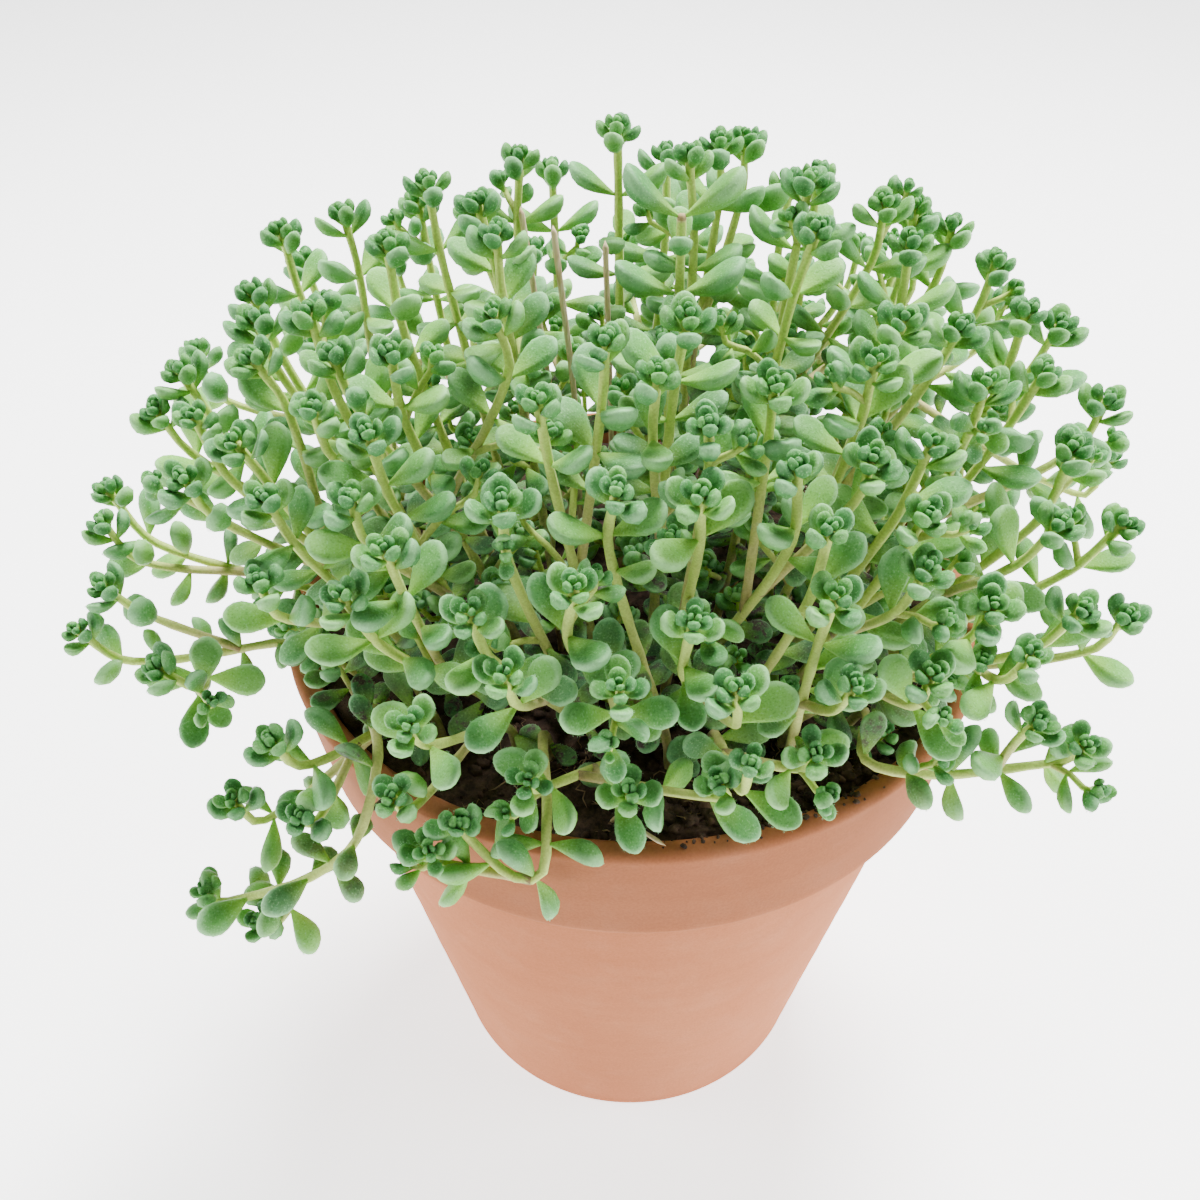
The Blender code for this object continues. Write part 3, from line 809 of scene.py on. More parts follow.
def tube_faces(rings, sides):
    """Triangles between rings of points, with a point at each end."""
    faces = []
    last = 1 + rings * sides
    for j in range(sides):
        k = (j + 1) % sides
        faces.append((0, 1 + k, 1 + j))
        faces.append((last, last - sides + j, last - sides + k))
    for i in range(rings - 1):
        for j in range(sides):
            k = (j + 1) % sides
            a, b = 1 + i * sides, 1 + (i + 1) * sides
            faces += [(a + j, a + k, b + k), (a + j, b + k, b + j)]
    return np.array(faces)


def leaf_swell(at):
    """A leaf's half-width along it, as a share of the largest: thin at the root, blunt at the tip."""
    return np.sin(np.pi * np.clip(at, 0, 1) ** 1.95).clip(0) ** 0.6


# For leaves of at least this length: the places and sides of their rings, and how much plumper and broader
LEAF_KINDS = (
    (4.0 * MM, (0.02, 0.1, 0.25, 0.42, 0.58, 0.72, 0.85, 0.94, 0.985), 10, 1.0, 1.0),
    (2.4 * MM, (0.03, 0.17, 0.4, 0.6, 0.78, 0.91, 0.975), 8, 1.25, 1.08),
    (1.3 * MM, (0.04, 0.22, 0.48, 0.72, 0.89, 0.97), 7, 1.5, 1.18),
    (0, (0.08, 0.35, 0.68, 0.92), 6, 1.6, 1.25),
)
LEAF_FACES = [tube_faces(len(kind[1]), kind[2]) for kind in LEAF_KINDS]


def add_leaf(skin, leaf, age, rng):
    """A plump leaf: flat or slightly hollow on its face, full below, with a thin neck and a blunt tip."""
    kind = next(i for i, row in enumerate(LEAF_KINDS) if leaf.length >= row[0])
    _, rings, sides, plump, broad = LEAF_KINDS[kind]
    turns = (np.arange(sides) + 0.5) / sides * math.tau
    at = np.repeat(rings, sides)
    turn = np.tile(turns, len(rings))
    swell = leaf_swell(at)
    wide = LEAF_WIDTH / 2 * rng.uniform(0.86, 1.08) * broad
    upper = LEAF_UPPER * plump * rng.uniform(0.7, 1.3)
    lower = LEAF_LOWER * plump * rng.uniform(0.8, 1.1)
    cosine, sine = np.cos(turn), np.sin(turn)
    across = wide * swell * cosine
    hollow = 1 - rng.uniform(0.1, 0.6) * (1 - np.abs(cosine)) * (sine > 0)
    deep = np.where(sine > 0, upper * hollow, lower) * sine * swell**0.92
    rise, sway = LEAF_RISE + rng.uniform(-0.05, 0.09), rng.uniform(-0.06, 0.06)
    root, along = np.array(leaf.root), np.array(leaf.along)
    face, side = np.array(leaf.face), np.array(leaf.along.cross(leaf.face))
    body = np.outer(at, along) + np.outer(across + sway * at**2, side) + np.outer(deep + rise * at**2, face)
    tip = along + face * rise + side * sway
    shape = np.vstack([np.zeros(3), body, tip])
    length = leaf.length
    while not inside_box(root + shape * length):
        length *= 0.94
        if length < leaf.length * 0.5:
            return
    edge = np.clip(np.abs(cosine) ** 3 * swell + np.clip((at - 0.8) * 5, 0, 1), 0, 1)
    tint = rng.random()
    along_it, edge = np.concatenate([[0], at, [1]]), np.concatenate([[0], edge, [1]])
    skin.add(root + shape * length, LEAF_FACES[kind], 0, along=along_it, edge=edge, tint=tint, age=age)
    if kind < FUZZY_KINDS:
        add_fuzz(skin, leaf, length, (wide, rise, sway), age, tint, rng)


FUZZY_KINDS = 2
FUZZ_PER_LENGTH = 4.5 / MM
FUZZ_RADIUS = 0.022 * MM
FUZZ_SIZE = (0.1 * MM, 0.22 * MM)
FUZZ_FACES = np.array([(0, 1, 3), (1, 2, 3), (2, 0, 3), (0, 2, 1)])


def add_fuzz(skin, leaf, length, form, age, tint, rng):
    """Short pale hairs that stand out from a leaf's rim, closest at its tip."""
    wide, rise, sway = form
    count = round(length * FUZZ_PER_LENGTH)
    at = np.array([1 - 0.75 * rng.random() ** 1.4 for _ in range(count)])
    hand = np.array([rng.choice((-1, 1)) for _ in range(count)])
    tilt = np.array([rng.uniform(-0.7, 0.7) for _ in range(count)])
    size = np.array([rng.uniform(*FUZZ_SIZE) for _ in range(count)])
    along, face = np.array(leaf.along), np.array(leaf.face)
    side = np.cross(along, face)
    across = hand * wide * leaf_swell(at) + sway * at**2
    feet = np.outer(at, along) + np.outer(across, side) + np.outer(rise * at**2, face)
    feet = np.array(leaf.root) + length * feet
    out = np.outer(hand * (1 - at**8), side) + np.outer(at**8 + 0.15, along) + np.outer(tilt, face)
    out /= np.linalg.norm(out, axis=1)[:, None]
    ring = np.array([along, 0.87 * face - 0.5 * along, -0.87 * face - 0.5 * along]) * FUZZ_RADIUS
    hairs = np.concatenate([feet[:, None] + ring[None], (feet + out * size[:, None])[:, None]], axis=1)
    hairs = hairs[((hairs > BOX_LOW) & (hairs < BOX_HIGH)).all(axis=(1, 2))]
    if len(hairs):
        faces = (FUZZ_FACES[None] + 4 * np.arange(len(hairs))[:, None, None]).reshape(-1, 3)
        skin.add(hairs, faces, 0, along=0.9, edge=2.0, tint=tint, age=age)


def rings_along(points, first, radii, sides, aside):
    """Rings about a path's points from the first one named, one ring for each radius."""
    across = aside.cross(points[1] - points[0]).normalized()
    turns = [math.tau * j / sides for j in range(sides)]
    rings = []
    for i, radius in enumerate(radii, first):
        direction = (points[min(i + 1, len(points) - 1)] - points[max(i - 1, 0)]).normalized()
        across = (across - direction * across.dot(direction)).normalized()
        other = direction.cross(across)
        rings += [points[i] + (across * math.cos(t) + other * math.sin(t)) * radius for t in turns]
    return rings


def add_stem(skin, sprig, rng):
    """A round stem along the axis, a little knobbly, and thinner to its tip."""
    points = sprig.axis.points[:1] + sprig.axis.points[1:-1:STEM_STEP] + sprig.axis.points[-1:]
    radius = sprig.axis.radius * STEM_THIN
    phase = rng.uniform(0, 9)
    gone = [0.0, *accumulate(steps(points))]
    shares = [distance / gone[-1] for distance in gone]
    radii = []
    for distance, share in zip(gone, shares):
        knobs = 0.05 * math.sin(distance / (0.9 * MM) + phase)
        knobs += 0.04 * math.sin(distance / (0.37 * MM) + 2 * phase)
        radii.append(radius * (1.06 - 0.2 * share) * (1 + knobs))
    body = rings_along(points, 0, radii, FINE_STEM_SIDES, Vector((1, 0, 0)))
    tip_length = (0.02 if sprig.axis.cut else 0.3) * MM
    tip = points[-1] + (points[-1] - points[-2]).normalized() * tip_length
    along = np.array([0, *np.repeat(shares, FINE_STEM_SIDES), 1])
    tint = rng.random()
    age = sprig.aged * (1 - along)
    if sprig.axis.cut:
        age[-1 - FINE_STEM_SIDES :] = 1
    faces = tube_faces(len(points), FINE_STEM_SIDES)
    skin.add([points[0], *body, tip], faces, 1, along=along, tint=tint, age=age)


def foliage(name, sprigs, seed, materials):
    """One piece of these sprigs."""
    skin, rng = Skin(), random.Random(seed)
    for sprig in sprigs:
        add_stem(skin, sprig, rng)
        for leaf, age in sprig.leaves:
            add_leaf(skin, leaf, age, rng)
    piece = skin.build(name, materials)
    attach(piece, "root")
    return piece


def make_shoots(shoots, low, materials):
    for owner, sprigs in enumerate(shoots):
        name = f"shoot_{owner + 1:02d}"
        piece = foliage(f"leafy_{name}", sprigs, SEED + 5000 + owner, materials)
        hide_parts(name)
    for n in range(LOW_PIECES):
        foliage(f"low_shoots_{n + 1}", low[n::LOW_PIECES], SEED + 6000 + n, materials)


def arc(x, z, radius, start, end, count):
    """Points of an arc about (x, z), from one angle to another, in degrees."""
    angles = [math.radians(start + (end - start) * i / count) for i in range(count + 1)]
    return [(x + radius * math.cos(a), z + radius * math.sin(a)) for a in angles]


def turned(name, outline, sides, material):
    """A closed outline at +X, turned about the Z axis."""
    edges = [(i, (i + 1) % len(outline)) for i in range(len(outline))]
    made = linked(name, new_mesh(name, [(x, 0, z) for x, z in outline], edges, [], [material]))
    screw = made.modifiers.new("Screw", "SCREW")
    screw.angle = math.tau
    screw.steps = screw.render_steps = sides
    screw.use_merge_vertices = True
    screw.merge_threshold = 0.01 * MM
    return made


def along_wall(start, end, count):
    """Points between two points of the outline, with the faint waves that throwing leaves."""
    found = []
    for i in range(1, count):
        t = i / count
        x, z = start[0] + (end[0] - start[0]) * t, start[1] + (end[1] - start[1]) * t
        wave = 0.012 * math.sin(z / (0.95 * MM)) + 0.012 * math.sin(z / (2.3 * MM) + 1.3)
        found.append((x - (wave + 0.03) * MM, z))
    return found


LIP = 1.1 * MM
COLLAR_EDGE = 0.8 * MM
BASE_EDGE = 0.9 * MM
FLOOR_EDGE = 1.4 * MM
DRAIN_EDGE = 0.5 * MM
# The inner wall's two corners under the collar
WAIST = (BODY_TOP_RADIUS - BODY_WALL, BODY_HEIGHT - 1.5 * MM)
SHOULDER = (COLLAR_FOOT_RADIUS - COLLAR_WALL + 0.7 * MM, BODY_HEIGHT + 5 * MM)
POT_SIDES = 120


def make_pot(material):
    """The pot, turned from its outline: lip, collar, body, base, drain hole, inside and lip again."""
    lip_out = arc(RIM_RADIUS - LIP, POT_HEIGHT - LIP, LIP, 90, 0, 7)
    collar_end = (COLLAR_FOOT_RADIUS, BODY_HEIGHT + 0.9 * MM)
    collar_foot = arc(COLLAR_FOOT_RADIUS - COLLAR_EDGE, BODY_HEIGHT + COLLAR_EDGE, COLLAR_EDGE, 0, -90, 5)
    body_start, body_end = (BODY_TOP_RADIUS, BODY_HEIGHT), (BASE_RADIUS, BASE_EDGE)
    base = arc(BASE_RADIUS - BASE_EDGE, BASE_EDGE, BASE_EDGE, -10, -90, 4)
    inside = [
        (DRAIN_RADIUS + DRAIN_EDGE, 0),
        (DRAIN_RADIUS, DRAIN_EDGE),
        (DRAIN_RADIUS, FLOOR),
        (FLOOR_RADIUS - FLOOR_EDGE, FLOOR),
        (FLOOR_RADIUS + SLOPE * FLOOR_EDGE, FLOOR + FLOOR_EDGE),
        WAIST,
        SHOULDER,
    ]
    lip_in = arc(MOUTH_RADIUS + LIP, POT_HEIGHT - LIP, LIP, 180, 90, 7)
    outline = lip_out + along_wall(lip_out[-1], collar_end, 30) + collar_foot
    outline += [body_start] + along_wall(body_start, body_end, 90) + base + inside + lip_in
    pot = turned("clay_pot", outline, POT_SIDES, material)
    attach(pot, "root")
    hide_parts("pot")


# Where compost has been pushed up against the lip: bearings from and to, and how high
BANK = (-4, 50)
BANK_HEIGHT = 1.9 * MM


def bank_share(x, y):
    """1 in the middle of the bank of compost at the lip, 0 away from it."""
    bearing = math.degrees(math.atan2(x, -y))
    sideways = min(clamped((bearing - BANK[0]) / 8), clamped((BANK[1] - bearing) / 8))
    outwards = clamped((math.hypot(x, y) - 30 * MM) / (5.5 * MM))
    return sideways * outwards**1.5


def compost_height(x, y):
    """The soil's top in the finer model: its lumps, with crumbs of two sizes on them."""
    coarse = noise.noise(Vector((x, y, 0)) / (2.6 * MM))
    fine = noise.noise(Vector((x, y, 0.02)) / (0.9 * MM))
    return soil_height(x, y) + (0.42 * coarse + 0.22 * fine) * MM + BANK_HEIGHT * bank_share(x, y)


SOIL_RINGS = 44
SOIL_GAP = 0.3 * MM


def circle(distance, sides=POT_SIDES):
    """Points all round the axis at this distance."""
    turns = [math.tau * j / sides for j in range(sides)]
    return [(distance * math.cos(t), distance * math.sin(t)) for t in turns]


def make_soil(material):
    """The compost: a crumbly top on a plain body that fills the pot."""
    skin = Skin()
    bottom = FLOOR + SOIL_GAP
    points = [(0, 0, compost_height(0, 0))]
    for i in range(SOIL_RINGS):
        ring = circle(SOIL_EDGE * (i + 1) / SOIL_RINGS)
        points += [(x, y, compost_height(x, y)) for x, y in ring]
    wall = (
        (SHOULDER[0] - SOIL_GAP, SHOULDER[1]),
        (WAIST[0] - SOIL_GAP, WAIST[1]),
        (FLOOR_RADIUS - 1.7 * MM, bottom),
    )
    for distance, z in wall:
        points += [(x, y, z) for x, y in circle(distance)]
    points.append((0, 0, bottom))
    skin.add(points, tube_faces(SOIL_RINGS + len(wall), POT_SIDES)[:, ::-1], 0)
    rng = random.Random(SEED + 3000)
    add_crumbs(skin, rng)
    add_fibres(skin, rng)
    soil = skin.build("compost", [material])
    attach(soil, "root")
    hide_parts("soil")


CRUMB_SIDES = 6
CRUMB_RINGS = (-0.68, 0, 0.68)
# How many lie all over the soil, on the bank and on the lip
CRUMBS = (800, 380, 120)
FIBRES = 110


def add_crumb(skin, centre, size, rng):
    """One crumb: a small uneven lump."""
    points = [(0, 0, -1)]
    for z in CRUMB_RINGS:
        points += [(x, y, z) for x, y in circle(math.sqrt(1 - z * z), CRUMB_SIDES)]
    points.append((0, 0, 1))
    points = np.array(points) * np.array([[rng.uniform(0.7, 1.3) * size * 0.5] for _ in points])
    turn, pole = rng.uniform(0, 6), Vector((rng.random(), rng.random(), 1)).normalized()
    spin = np.array(Matrix.Rotation(turn, 3, pole))
    points = points * (1, rng.uniform(0.6, 1), rng.uniform(0.5, 0.8)) @ spin.T + np.array(centre)
    skin.add(points, tube_faces(len(CRUMB_RINGS), CRUMB_SIDES), 0, tint=rng.random())


def lip_height(distance):
    """The lip's top at this distance from the axis, where it is rounded inwards and outwards."""
    off = max(MOUTH_RADIUS + LIP - distance, distance - RIM_RADIUS + LIP, 0)
    return POT_HEIGHT - LIP + math.sqrt(max(0, LIP**2 - off**2))


def add_crumbs(skin, rng):
    """Crumbs all over the soil, more of them on the bank, and some spilt on the lip by it."""
    for kind in np.repeat((0, 1, 2), CRUMBS):
        if kind == 0:
            distance = (SOIL_EDGE - 0.6 * MM) * math.sqrt(rng.random())
            turn = rng.uniform(-math.pi, math.pi)
        elif kind == 1:
            distance = rng.uniform(31, 36.4) * MM
            turn = math.radians(rng.uniform(*BANK))
        else:
            distance = rng.triangular(37.6, 39.6, 37.8) * MM
            turn = math.radians(rng.triangular(BANK[0], BANK[1], 22))
        x, y = around(distance, turn)
        if distance < SOIL_EDGE:
            size = rng.choice((0.5, 0.7, 0.9, 1.3, 1.8)) * MM
            z = compost_height(x, y)
        else:
            size = rng.choice((0.25, 0.35, 0.5, 0.8)) * MM
            z = lip_height(distance)
        add_crumb(skin, (x, y, z + size * 0.15), size, rng)


def thread(points, radius, sides):
    """The points and triangles of a thin tube along a path, pointed at both ends."""
    rings = len(points) - 2
    body = rings_along(points, 1, [radius] * rings, sides, Vector((0.3, 0.2, 1)))
    return [points[0], *body, points[-1]], tube_faces(rings, sides)


def add_fibres(skin, rng):
    """Fine pale fibres of peat, lying on the crumbs."""
    for _ in range(FIBRES):
        distance = rng.uniform(24, 36) * MM
        turn = math.radians(rng.uniform(BANK[0] - 30, BANK[1] + 20))
        heading = rng.uniform(0, math.tau)
        points = []
        for i in range(7):
            x, y = around(distance, turn)
            x += math.cos(heading) * 0.6 * MM * i
            y += math.sin(heading) * 0.6 * MM * i
            heading += rng.uniform(-0.5, 0.5)
            if math.hypot(x, y) < SOIL_EDGE - 0.5 * MM:
                points.append(Vector((x, y, compost_height(x, y) + rng.uniform(0.15, 0.6) * MM)))
        if len(points) > 3:
            skin.add(*thread(points, rng.uniform(0.05, 0.1) * MM, 4), 0, tint=1.3)


# Dry stalks of old flowers, in mm: where each ends, and where it comes out of the soil
DRY_STALKS = (
    ((-10.8, -3.4, 119.5), (-6.5, 1.5)),
    ((-7.6, -7.2, 119.3), (-6.2, -1.0)),
    ((-3.2, 0.0, 114.9), (-2.4, 4.0)),
)
# A dead twig over the lip: bearings, and distances from the axis and heights over the rim in mm
DEAD_TWIG = ((-3, 34.3, -2), (-1.5, 36, 0.6), (2, 37.8, 0.9), (5, 39.3, 0.6))


def make_dry_bits(material):
    """Brown stalks left standing from last year, and a dead twig lying over the lip."""
    skin = Skin()
    rng = random.Random(SEED + 4000)
    for end, (x, y) in DRY_STALKS:
        base = Vector((x * MM, y * MM, SOIL_TOP - 2 * MM))
        end = Vector([number * MM for number in end])
        middle = base.lerp(end, 0.55) + level_stray(rng) * MM
        points = smooth_path([base, middle, end])
        skin.add(*thread(points, 0.3 * MM, 7), 0, tint=rng.random())
    points = smooth_path([on_bearing(b, d * MM, h * MM) for b, d, h in DEAD_TWIG])
    skin.add(*thread(points, 0.22 * MM, 6), 0, tint=0.9)
    bits = skin.build("dry_stalks", [material])
    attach(bits, "root")


class Paint:
    """A Principled material, with short calls for the nodes that feed it."""

    def __init__(self, name, colour, **constants):
        self.material = bpy.data.materials.new(name)
        self.material.use_nodes = True
        self.tree = self.material.node_tree
        self.shader = self.tree.nodes["Principled BSDF"]
        for socket, value in constants.items():
            self.feed(self.shader.inputs[socket.replace("_", " ")], value)
        self.place = self.node("TexCoord", "Object")
        self.now = colour

    def feed(self, socket, value):
        """Links a socket to an output, or sets it to a number, three numbers or a colour."""
        if isinstance(value, bpy.types.NodeSocket):
            self.tree.links.new(value, socket)
        else:
            socket.default_value = (*value, 1) if socket.type == "RGBA" else value

    def node(self, kind, output, inputs=(), **properties):
        """The output of a new node, with its properties set and its inputs fed."""
        made = self.tree.nodes.new("ShaderNode" + kind)
        for name, value in properties.items():
            setattr(made, name, value)
        for socket, value in dict(inputs).items():
            self.feed(made.inputs[socket], value)
        return made.outputs[output]

    def value(self, name):
        return self.node("Attribute", "Fac", attribute_name=name)

    def noise(self, scale, detail=2.0, roughness=0.5):
        """Noise of this scale, or of one scale for each direction."""
        place = self.place
        if isinstance(scale, tuple):
            place = self.node("Mapping", "Vector", {"Vector": place, "Scale": scale})
            scale = 1.0
        inputs = {"Vector": place, "Scale": scale, "Detail": detail, "Roughness": roughness}
        return self.node("TexNoise", "Fac", inputs)

    def spread(self, value, low, high, to_low=0.0, to_high=1.0):
        """A value's way from low to high, put between two other numbers."""
        return self.node("MapRange", "Result", enumerate((value, low, high, to_low, to_high)))

    def math(self, operation, a, b):
        return self.node("Math", "Value", enumerate((a, b)), operation=operation)

    def mix(self, share, a, b, blend="MIX"):
        return self.node("Mix", 2, {0: share, 6: a, 7: b}, data_type="RGBA", blend_type=blend)

    def over(self, colour, share, *span):
        """Mixes a colour over what is there, by a share, or by a value's way through a span."""
        self.now = self.mix(self.spread(share, *span) if span else share, self.now, colour)

    def times(self, value, *span):
        """Multiplies what is there by a value's way through a span."""
        self.now = self.mix(1.0, self.now, self.spread(value, *span), "MULTIPLY")

    def finish(self, height=None, distance=0.0, strength=1.0):
        """The material, with the colour and a bump of this height fed to its shader."""
        if height:
            inputs = {"Height": height, "Distance": distance, "Strength": strength}
            self.feed(self.shader.inputs["Normal"], self.node("Bump", "Normal", inputs))
        self.feed(self.shader.inputs["Base Color"], self.now)
        return self.material


YOUNG_GREEN = (0.042, 0.185, 0.038)
LEAF_GREEN = (0.08, 0.272, 0.038)
WARM_GREEN = (0.165, 0.37, 0.053)
NECK_GREEN = (0.29, 0.52, 0.08)
BLOOM = (0.16, 0.44, 0.19)
WARM_BLOOM = (0.23, 0.47, 0.13)
MEAL = (0.32, 0.62, 0.27)
# Pale frost of hairs and leaf margins, also used as painted rim light along the leaves' outlines
FROST_AND_RIM_LIGHT = (0.33, 0.61, 0.31)
# The grey of old leaves, which is also the painted shade on shoots aged for lying deep in or low under the
# plant
OLD_GREY_AND_SHADE = (0.05, 0.095, 0.04)
OLD_PURPLE = (0.09, 0.06, 0.06)


def leaf_paint():
    """Green to blue-green leaves under a mealy bloom, pale at the neck, grey and purple where old, with pale
    rims that are partly frost and partly painted rim light, and grey that is partly painted shade on shoots
    aged for lying deep or low.
    """
    paint = Paint(
        "sedum_leaf", YOUNG_GREEN, Roughness=0.55, Specular_IOR_Level=0.13,
        Subsurface_Weight=0.15, Subsurface_Radius=(0.5, 1.0, 0.25), Subsurface_Scale=0.0012,
        Sheen_Weight=0.05, Sheen_Roughness=0.4, Sheen_Tint=(0.75, 1.0, 0.78),
    )
    along, edge, tint, age = (paint.value(name) for name in Skin.VALUES)
    mealy = paint.noise(900, 4.0, 0.6)
    grains = paint.noise(5200, 2.0, 0.5)
    paint.over(LEAF_GREEN, age, 0.18, 0.42)
    paint.over(WARM_GREEN, tint, 0.5, 1.0, 0, 0.45)
    paint.over(YOUNG_GREEN, age, 0.18, 0.4, 0.8, 0)
    # Old leaves go grey; where shoots were aged for lying deep or low, this grey is painted shade
    paint.over(OLD_GREY_AND_SHADE, age, 0.46, 0.84)
    paint.over(NECK_GREEN, along, 0.62, 0.08, 0, 0.9)
    patchy = paint.spread(mealy, 0.35, 0.65, 0.35, 1)
    bloomed = paint.math("MULTIPLY", patchy, paint.spread(along, 0.35, 0.95, 0.05, 0.5))
    # More bloom towards rims and tips: partly real bloom, partly painted sheen at the leaf's outline
    bloomed = paint.math("ADD", bloomed, paint.math("MULTIPLY", edge, 0.28))
    bloomed = paint.math("MULTIPLY", bloomed, paint.spread(age, 0.05, 0.4, 0.12, 1))
    paint.over(paint.mix(paint.spread(tint, 0.25, 0.75), BLOOM, WARM_BLOOM), bloomed)
    blotched = paint.math("MULTIPLY", paint.spread(age, 0.72, 0.98), paint.spread(mealy, 0.5, 0.6))
    paint.over(OLD_PURPLE, blotched)
    paint.times(tint, 0, 1, 0.82, 1.2)
    paint.times(grains, 0.33, 0.44, 0.72, 1)
    paint.over(MEAL, grains, 0.58, 0.7, 0, 0.35)
    grown = paint.spread(age, 0.18, 0.3, 0.2, 1)
    # Pale margins on grown leaves, partly frost and partly painted rim light at the outline; below, the hairs
    # themselves are pale
    paint.over(FROST_AND_RIM_LIGHT, paint.math("MULTIPLY", paint.spread(edge, 0.55, 0.95, 0, 0.42), grown))
    paint.over(FROST_AND_RIM_LIGHT, edge, 1.4, 1.9, 0, 0.8)
    return paint.finish(grains, 0.00006, 0.7)


STEM_GREEN = (0.43, 0.55, 0.12)
STEM_OLIVE = (0.48, 0.46, 0.16)
STEM_TAN = (0.55, 0.47, 0.21)
STEM_BROWN = (0.24, 0.14, 0.08)


def stem_paint():
    """Pale yellow-green stems, tan and then brown towards the soil."""
    paint = Paint(
        "sedum_stem", STEM_GREEN, Roughness=0.6, Specular_IOR_Level=0.12,
        Subsurface_Weight=0.12, Subsurface_Radius=(0.6, 0.9, 0.25), Subsurface_Scale=0.0008,
        Sheen_Weight=0.05, Sheen_Roughness=0.5,
    )
    along, age = paint.value("along"), paint.value("age")
    grains = paint.noise(4200)
    tan = paint.mix(paint.spread(paint.noise(700, 3.0), 0.35, 0.7), STEM_OLIVE, STEM_TAN)
    paint.over(tan, age, 0.15, 0.4)
    paint.over(STEM_BROWN, age, 0.42, 0.5, 0, 0.75)
    paint.times(grains, 0.3, 0.7, 0.82, 1.12)
    paint.times(along, 0, 1, 0.9, 1.05)
    return paint.finish(grains, 0.00005, 0.6)


CLAY = (0.4, 0.14, 0.06)
PALE_CLAY = (0.45, 0.17, 0.08)
CLAY_DUST = (0.52, 0.24, 0.14)


def clay_paint():
    """Matte, pink-orange fired clay, mottled, with faint level lines, painted shade on the collar and painted
    light on the lower body.
    """
    paint = Paint("terracotta", CLAY, Roughness=0.9, Specular_IOR_Level=0.08)
    lines = paint.noise((9, 9, 900), 3.0, 0.6)
    grains = paint.noise(3600, 3.0, 0.6)
    height = paint.node("SeparateXYZ", "Z", {0: paint.place})
    paint.over(PALE_CLAY, paint.noise(26, 4.0, 0.6), 0.35, 0.68)
    paint.over(CLAY_DUST, paint.noise(160, 5.0, 0.65), 0.5, 0.72, 0, 0.18)
    paint.times(lines, 0.3, 0.7, 0.97, 1.02)
    paint.times(grains, 0.3, 0.7, 0.9, 1.08)
    # Painted shade: the collar is darkened to stand for the shadow of the plant that overhangs it
    paint.times(height, 0.0575, 0.0595, 1, 0.72)
    # Painted light: the body is lighter towards its foot, to stand for light from the glowing floor below
    paint.times(height, 0, 0.055, 1.16, 0.95)
    relief = paint.math("ADD", paint.math("MULTIPLY", lines, 0.6), paint.math("MULTIPLY", grains, 0.4))
    return paint.finish(relief, 0.00006, 0.5)


PEAT = (0.02, 0.012, 0.009)
PALE_PEAT = (0.1, 0.06, 0.04)
CRUMB_BROWN = (0.16, 0.09, 0.06)
FIBRE = (0.24, 0.16, 0.09)


def soil_paint():
    """Dark, damp peat with a few paler fibres."""
    paint = Paint("peat", PEAT, Roughness=0.95, Specular_IOR_Level=0.2)
    tint, lumps = paint.value("tint"), paint.noise(700, 5.0, 0.7)
    paint.over(PALE_PEAT, lumps, 0.35, 0.7)
    paint.over(CRUMB_BROWN, tint, 0.75, 1, 0, 0.6)
    paint.over(FIBRE, tint, 1.1, 1.2)
    return paint.finish(lumps, 0.0005, 0.9)


DRY = (0.5, 0.36, 0.2)
DRY_STREAK = (0.75, 0.6, 0.4)
DRY_DARK = (0.3, 0.24, 0.12)


def dry_paint():
    """Dry, straw-brown stalks with paler streaks along them."""
    paint = Paint("dry_stalk", DRY, Roughness=0.8, Specular_IOR_Level=0.1)
    streaks = paint.noise((3000, 3000, 260), 3.0, 0.6)
    paint.over(DRY_STREAK, streaks, 0.35, 0.65)
    paint.over(DRY_DARK, paint.value("tint"), 0, 1, 0, 0.5)
    return paint.finish(streaks, 0.0001, 0.8)


def floor_paint():
    """A plain pale floor that glows a little, as under a light tent."""
    paint = Paint(
        "studio_floor", (0.86, 0.86, 0.86), Roughness=0.9, Specular_IOR_Level=0.1,
        Emission_Color=(1, 1, 1), Emission_Strength=FLOOR_GLOW,
    )
    paint.over((0.88, 0.88, 0.88), paint.noise(3))
    return paint.finish()


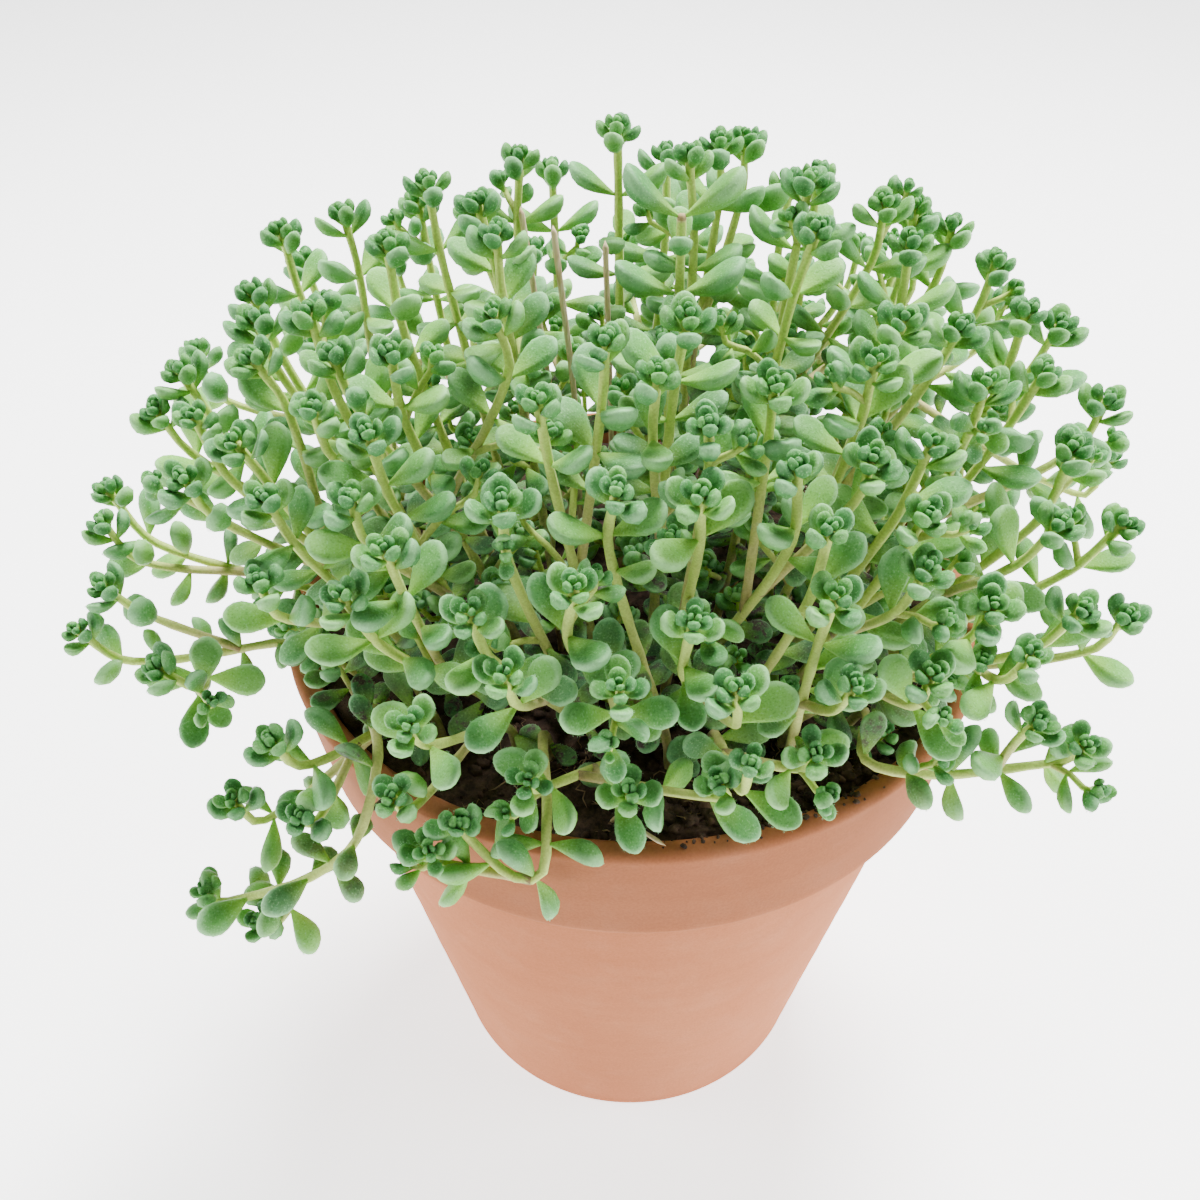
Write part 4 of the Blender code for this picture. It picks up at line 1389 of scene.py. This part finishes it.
# Studio. The camera stands where the photograph was taken: near, and looking 39.5 degrees down
CAMERA_PLACE = Vector((0, -109.87 * MM, POT_HEIGHT + 88.19 * MM))
CAMERA_FORWARD = Vector((-0.0274, 0.7708, -0.6365))
CAMERA_RIGHT = Vector((0.9995, 0.0314, -0.005))
LENS_AND_SENSOR = 36


def make_camera():
    data = bpy.data.cameras.new("camera")
    data.lens = LENS_AND_SENSOR
    data.sensor_width = LENS_AND_SENSOR
    data.clip_start = 0.005
    camera = linked("camera", data)
    back = -CAMERA_FORWARD.normalized()
    right = (CAMERA_RIGHT - back * CAMERA_RIGHT.dot(back)).normalized()
    turn = Matrix((right, back.cross(right), back)).transposed()
    camera.matrix_world = Matrix.Translation(CAMERA_PLACE) @ turn.to_4x4()
    bpy.context.scene.camera = camera


# Each light's name, place, the height on the axis that it is aimed at, size and power
LIGHTS = (
    ("top", (0.08, 0.22, 0.6), 0.09, 0.22, 14.8),
    ("left", (-0.45, -0.03, 0.2), 0.05, 0.3, 2.6),
    ("right", (0.45, -0.05, 0.2), 0.05, 0.3, 3),
)
FLOOR_HALF = 1.5
FLOOR_GLOW = 2.2
WORLD_GLOW = 0.22


def add_light(name, place, aim, size, power):
    data = bpy.data.lights.new(name, "AREA")
    data.shape = "DISK"
    data.size = size
    data.energy = power
    light = linked(name, data)
    light.location = place
    light.rotation_euler = (Vector((0, 0, aim)) - Vector(place)).to_track_quat("-Z", "Y").to_euler()


def make_studio():
    corners = [(x * FLOOR_HALF, y * FLOOR_HALF, 0) for x, y in ((-1, -1), (1, -1), (1, 1), (-1, 1))]
    floor = linked("floor", new_mesh("floor", corners, [], [(0, 1, 2, 3)], [floor_paint()]))
    world = bpy.data.worlds.new("studio")
    world.use_nodes = True
    background = world.node_tree.nodes["Background"]
    background.inputs["Color"].default_value = (1, 1, 1, 1)
    background.inputs["Strength"].default_value = WORLD_GLOW
    bpy.context.scene.world = world
    for light in LIGHTS:
        add_light(*light)


make_camera()
make_studio()
make_pot(clay_paint())
make_soil(soil_paint())
make_dry_bits(dry_paint())
make_shoots(*grow(), [leaf_paint(), stem_paint()])
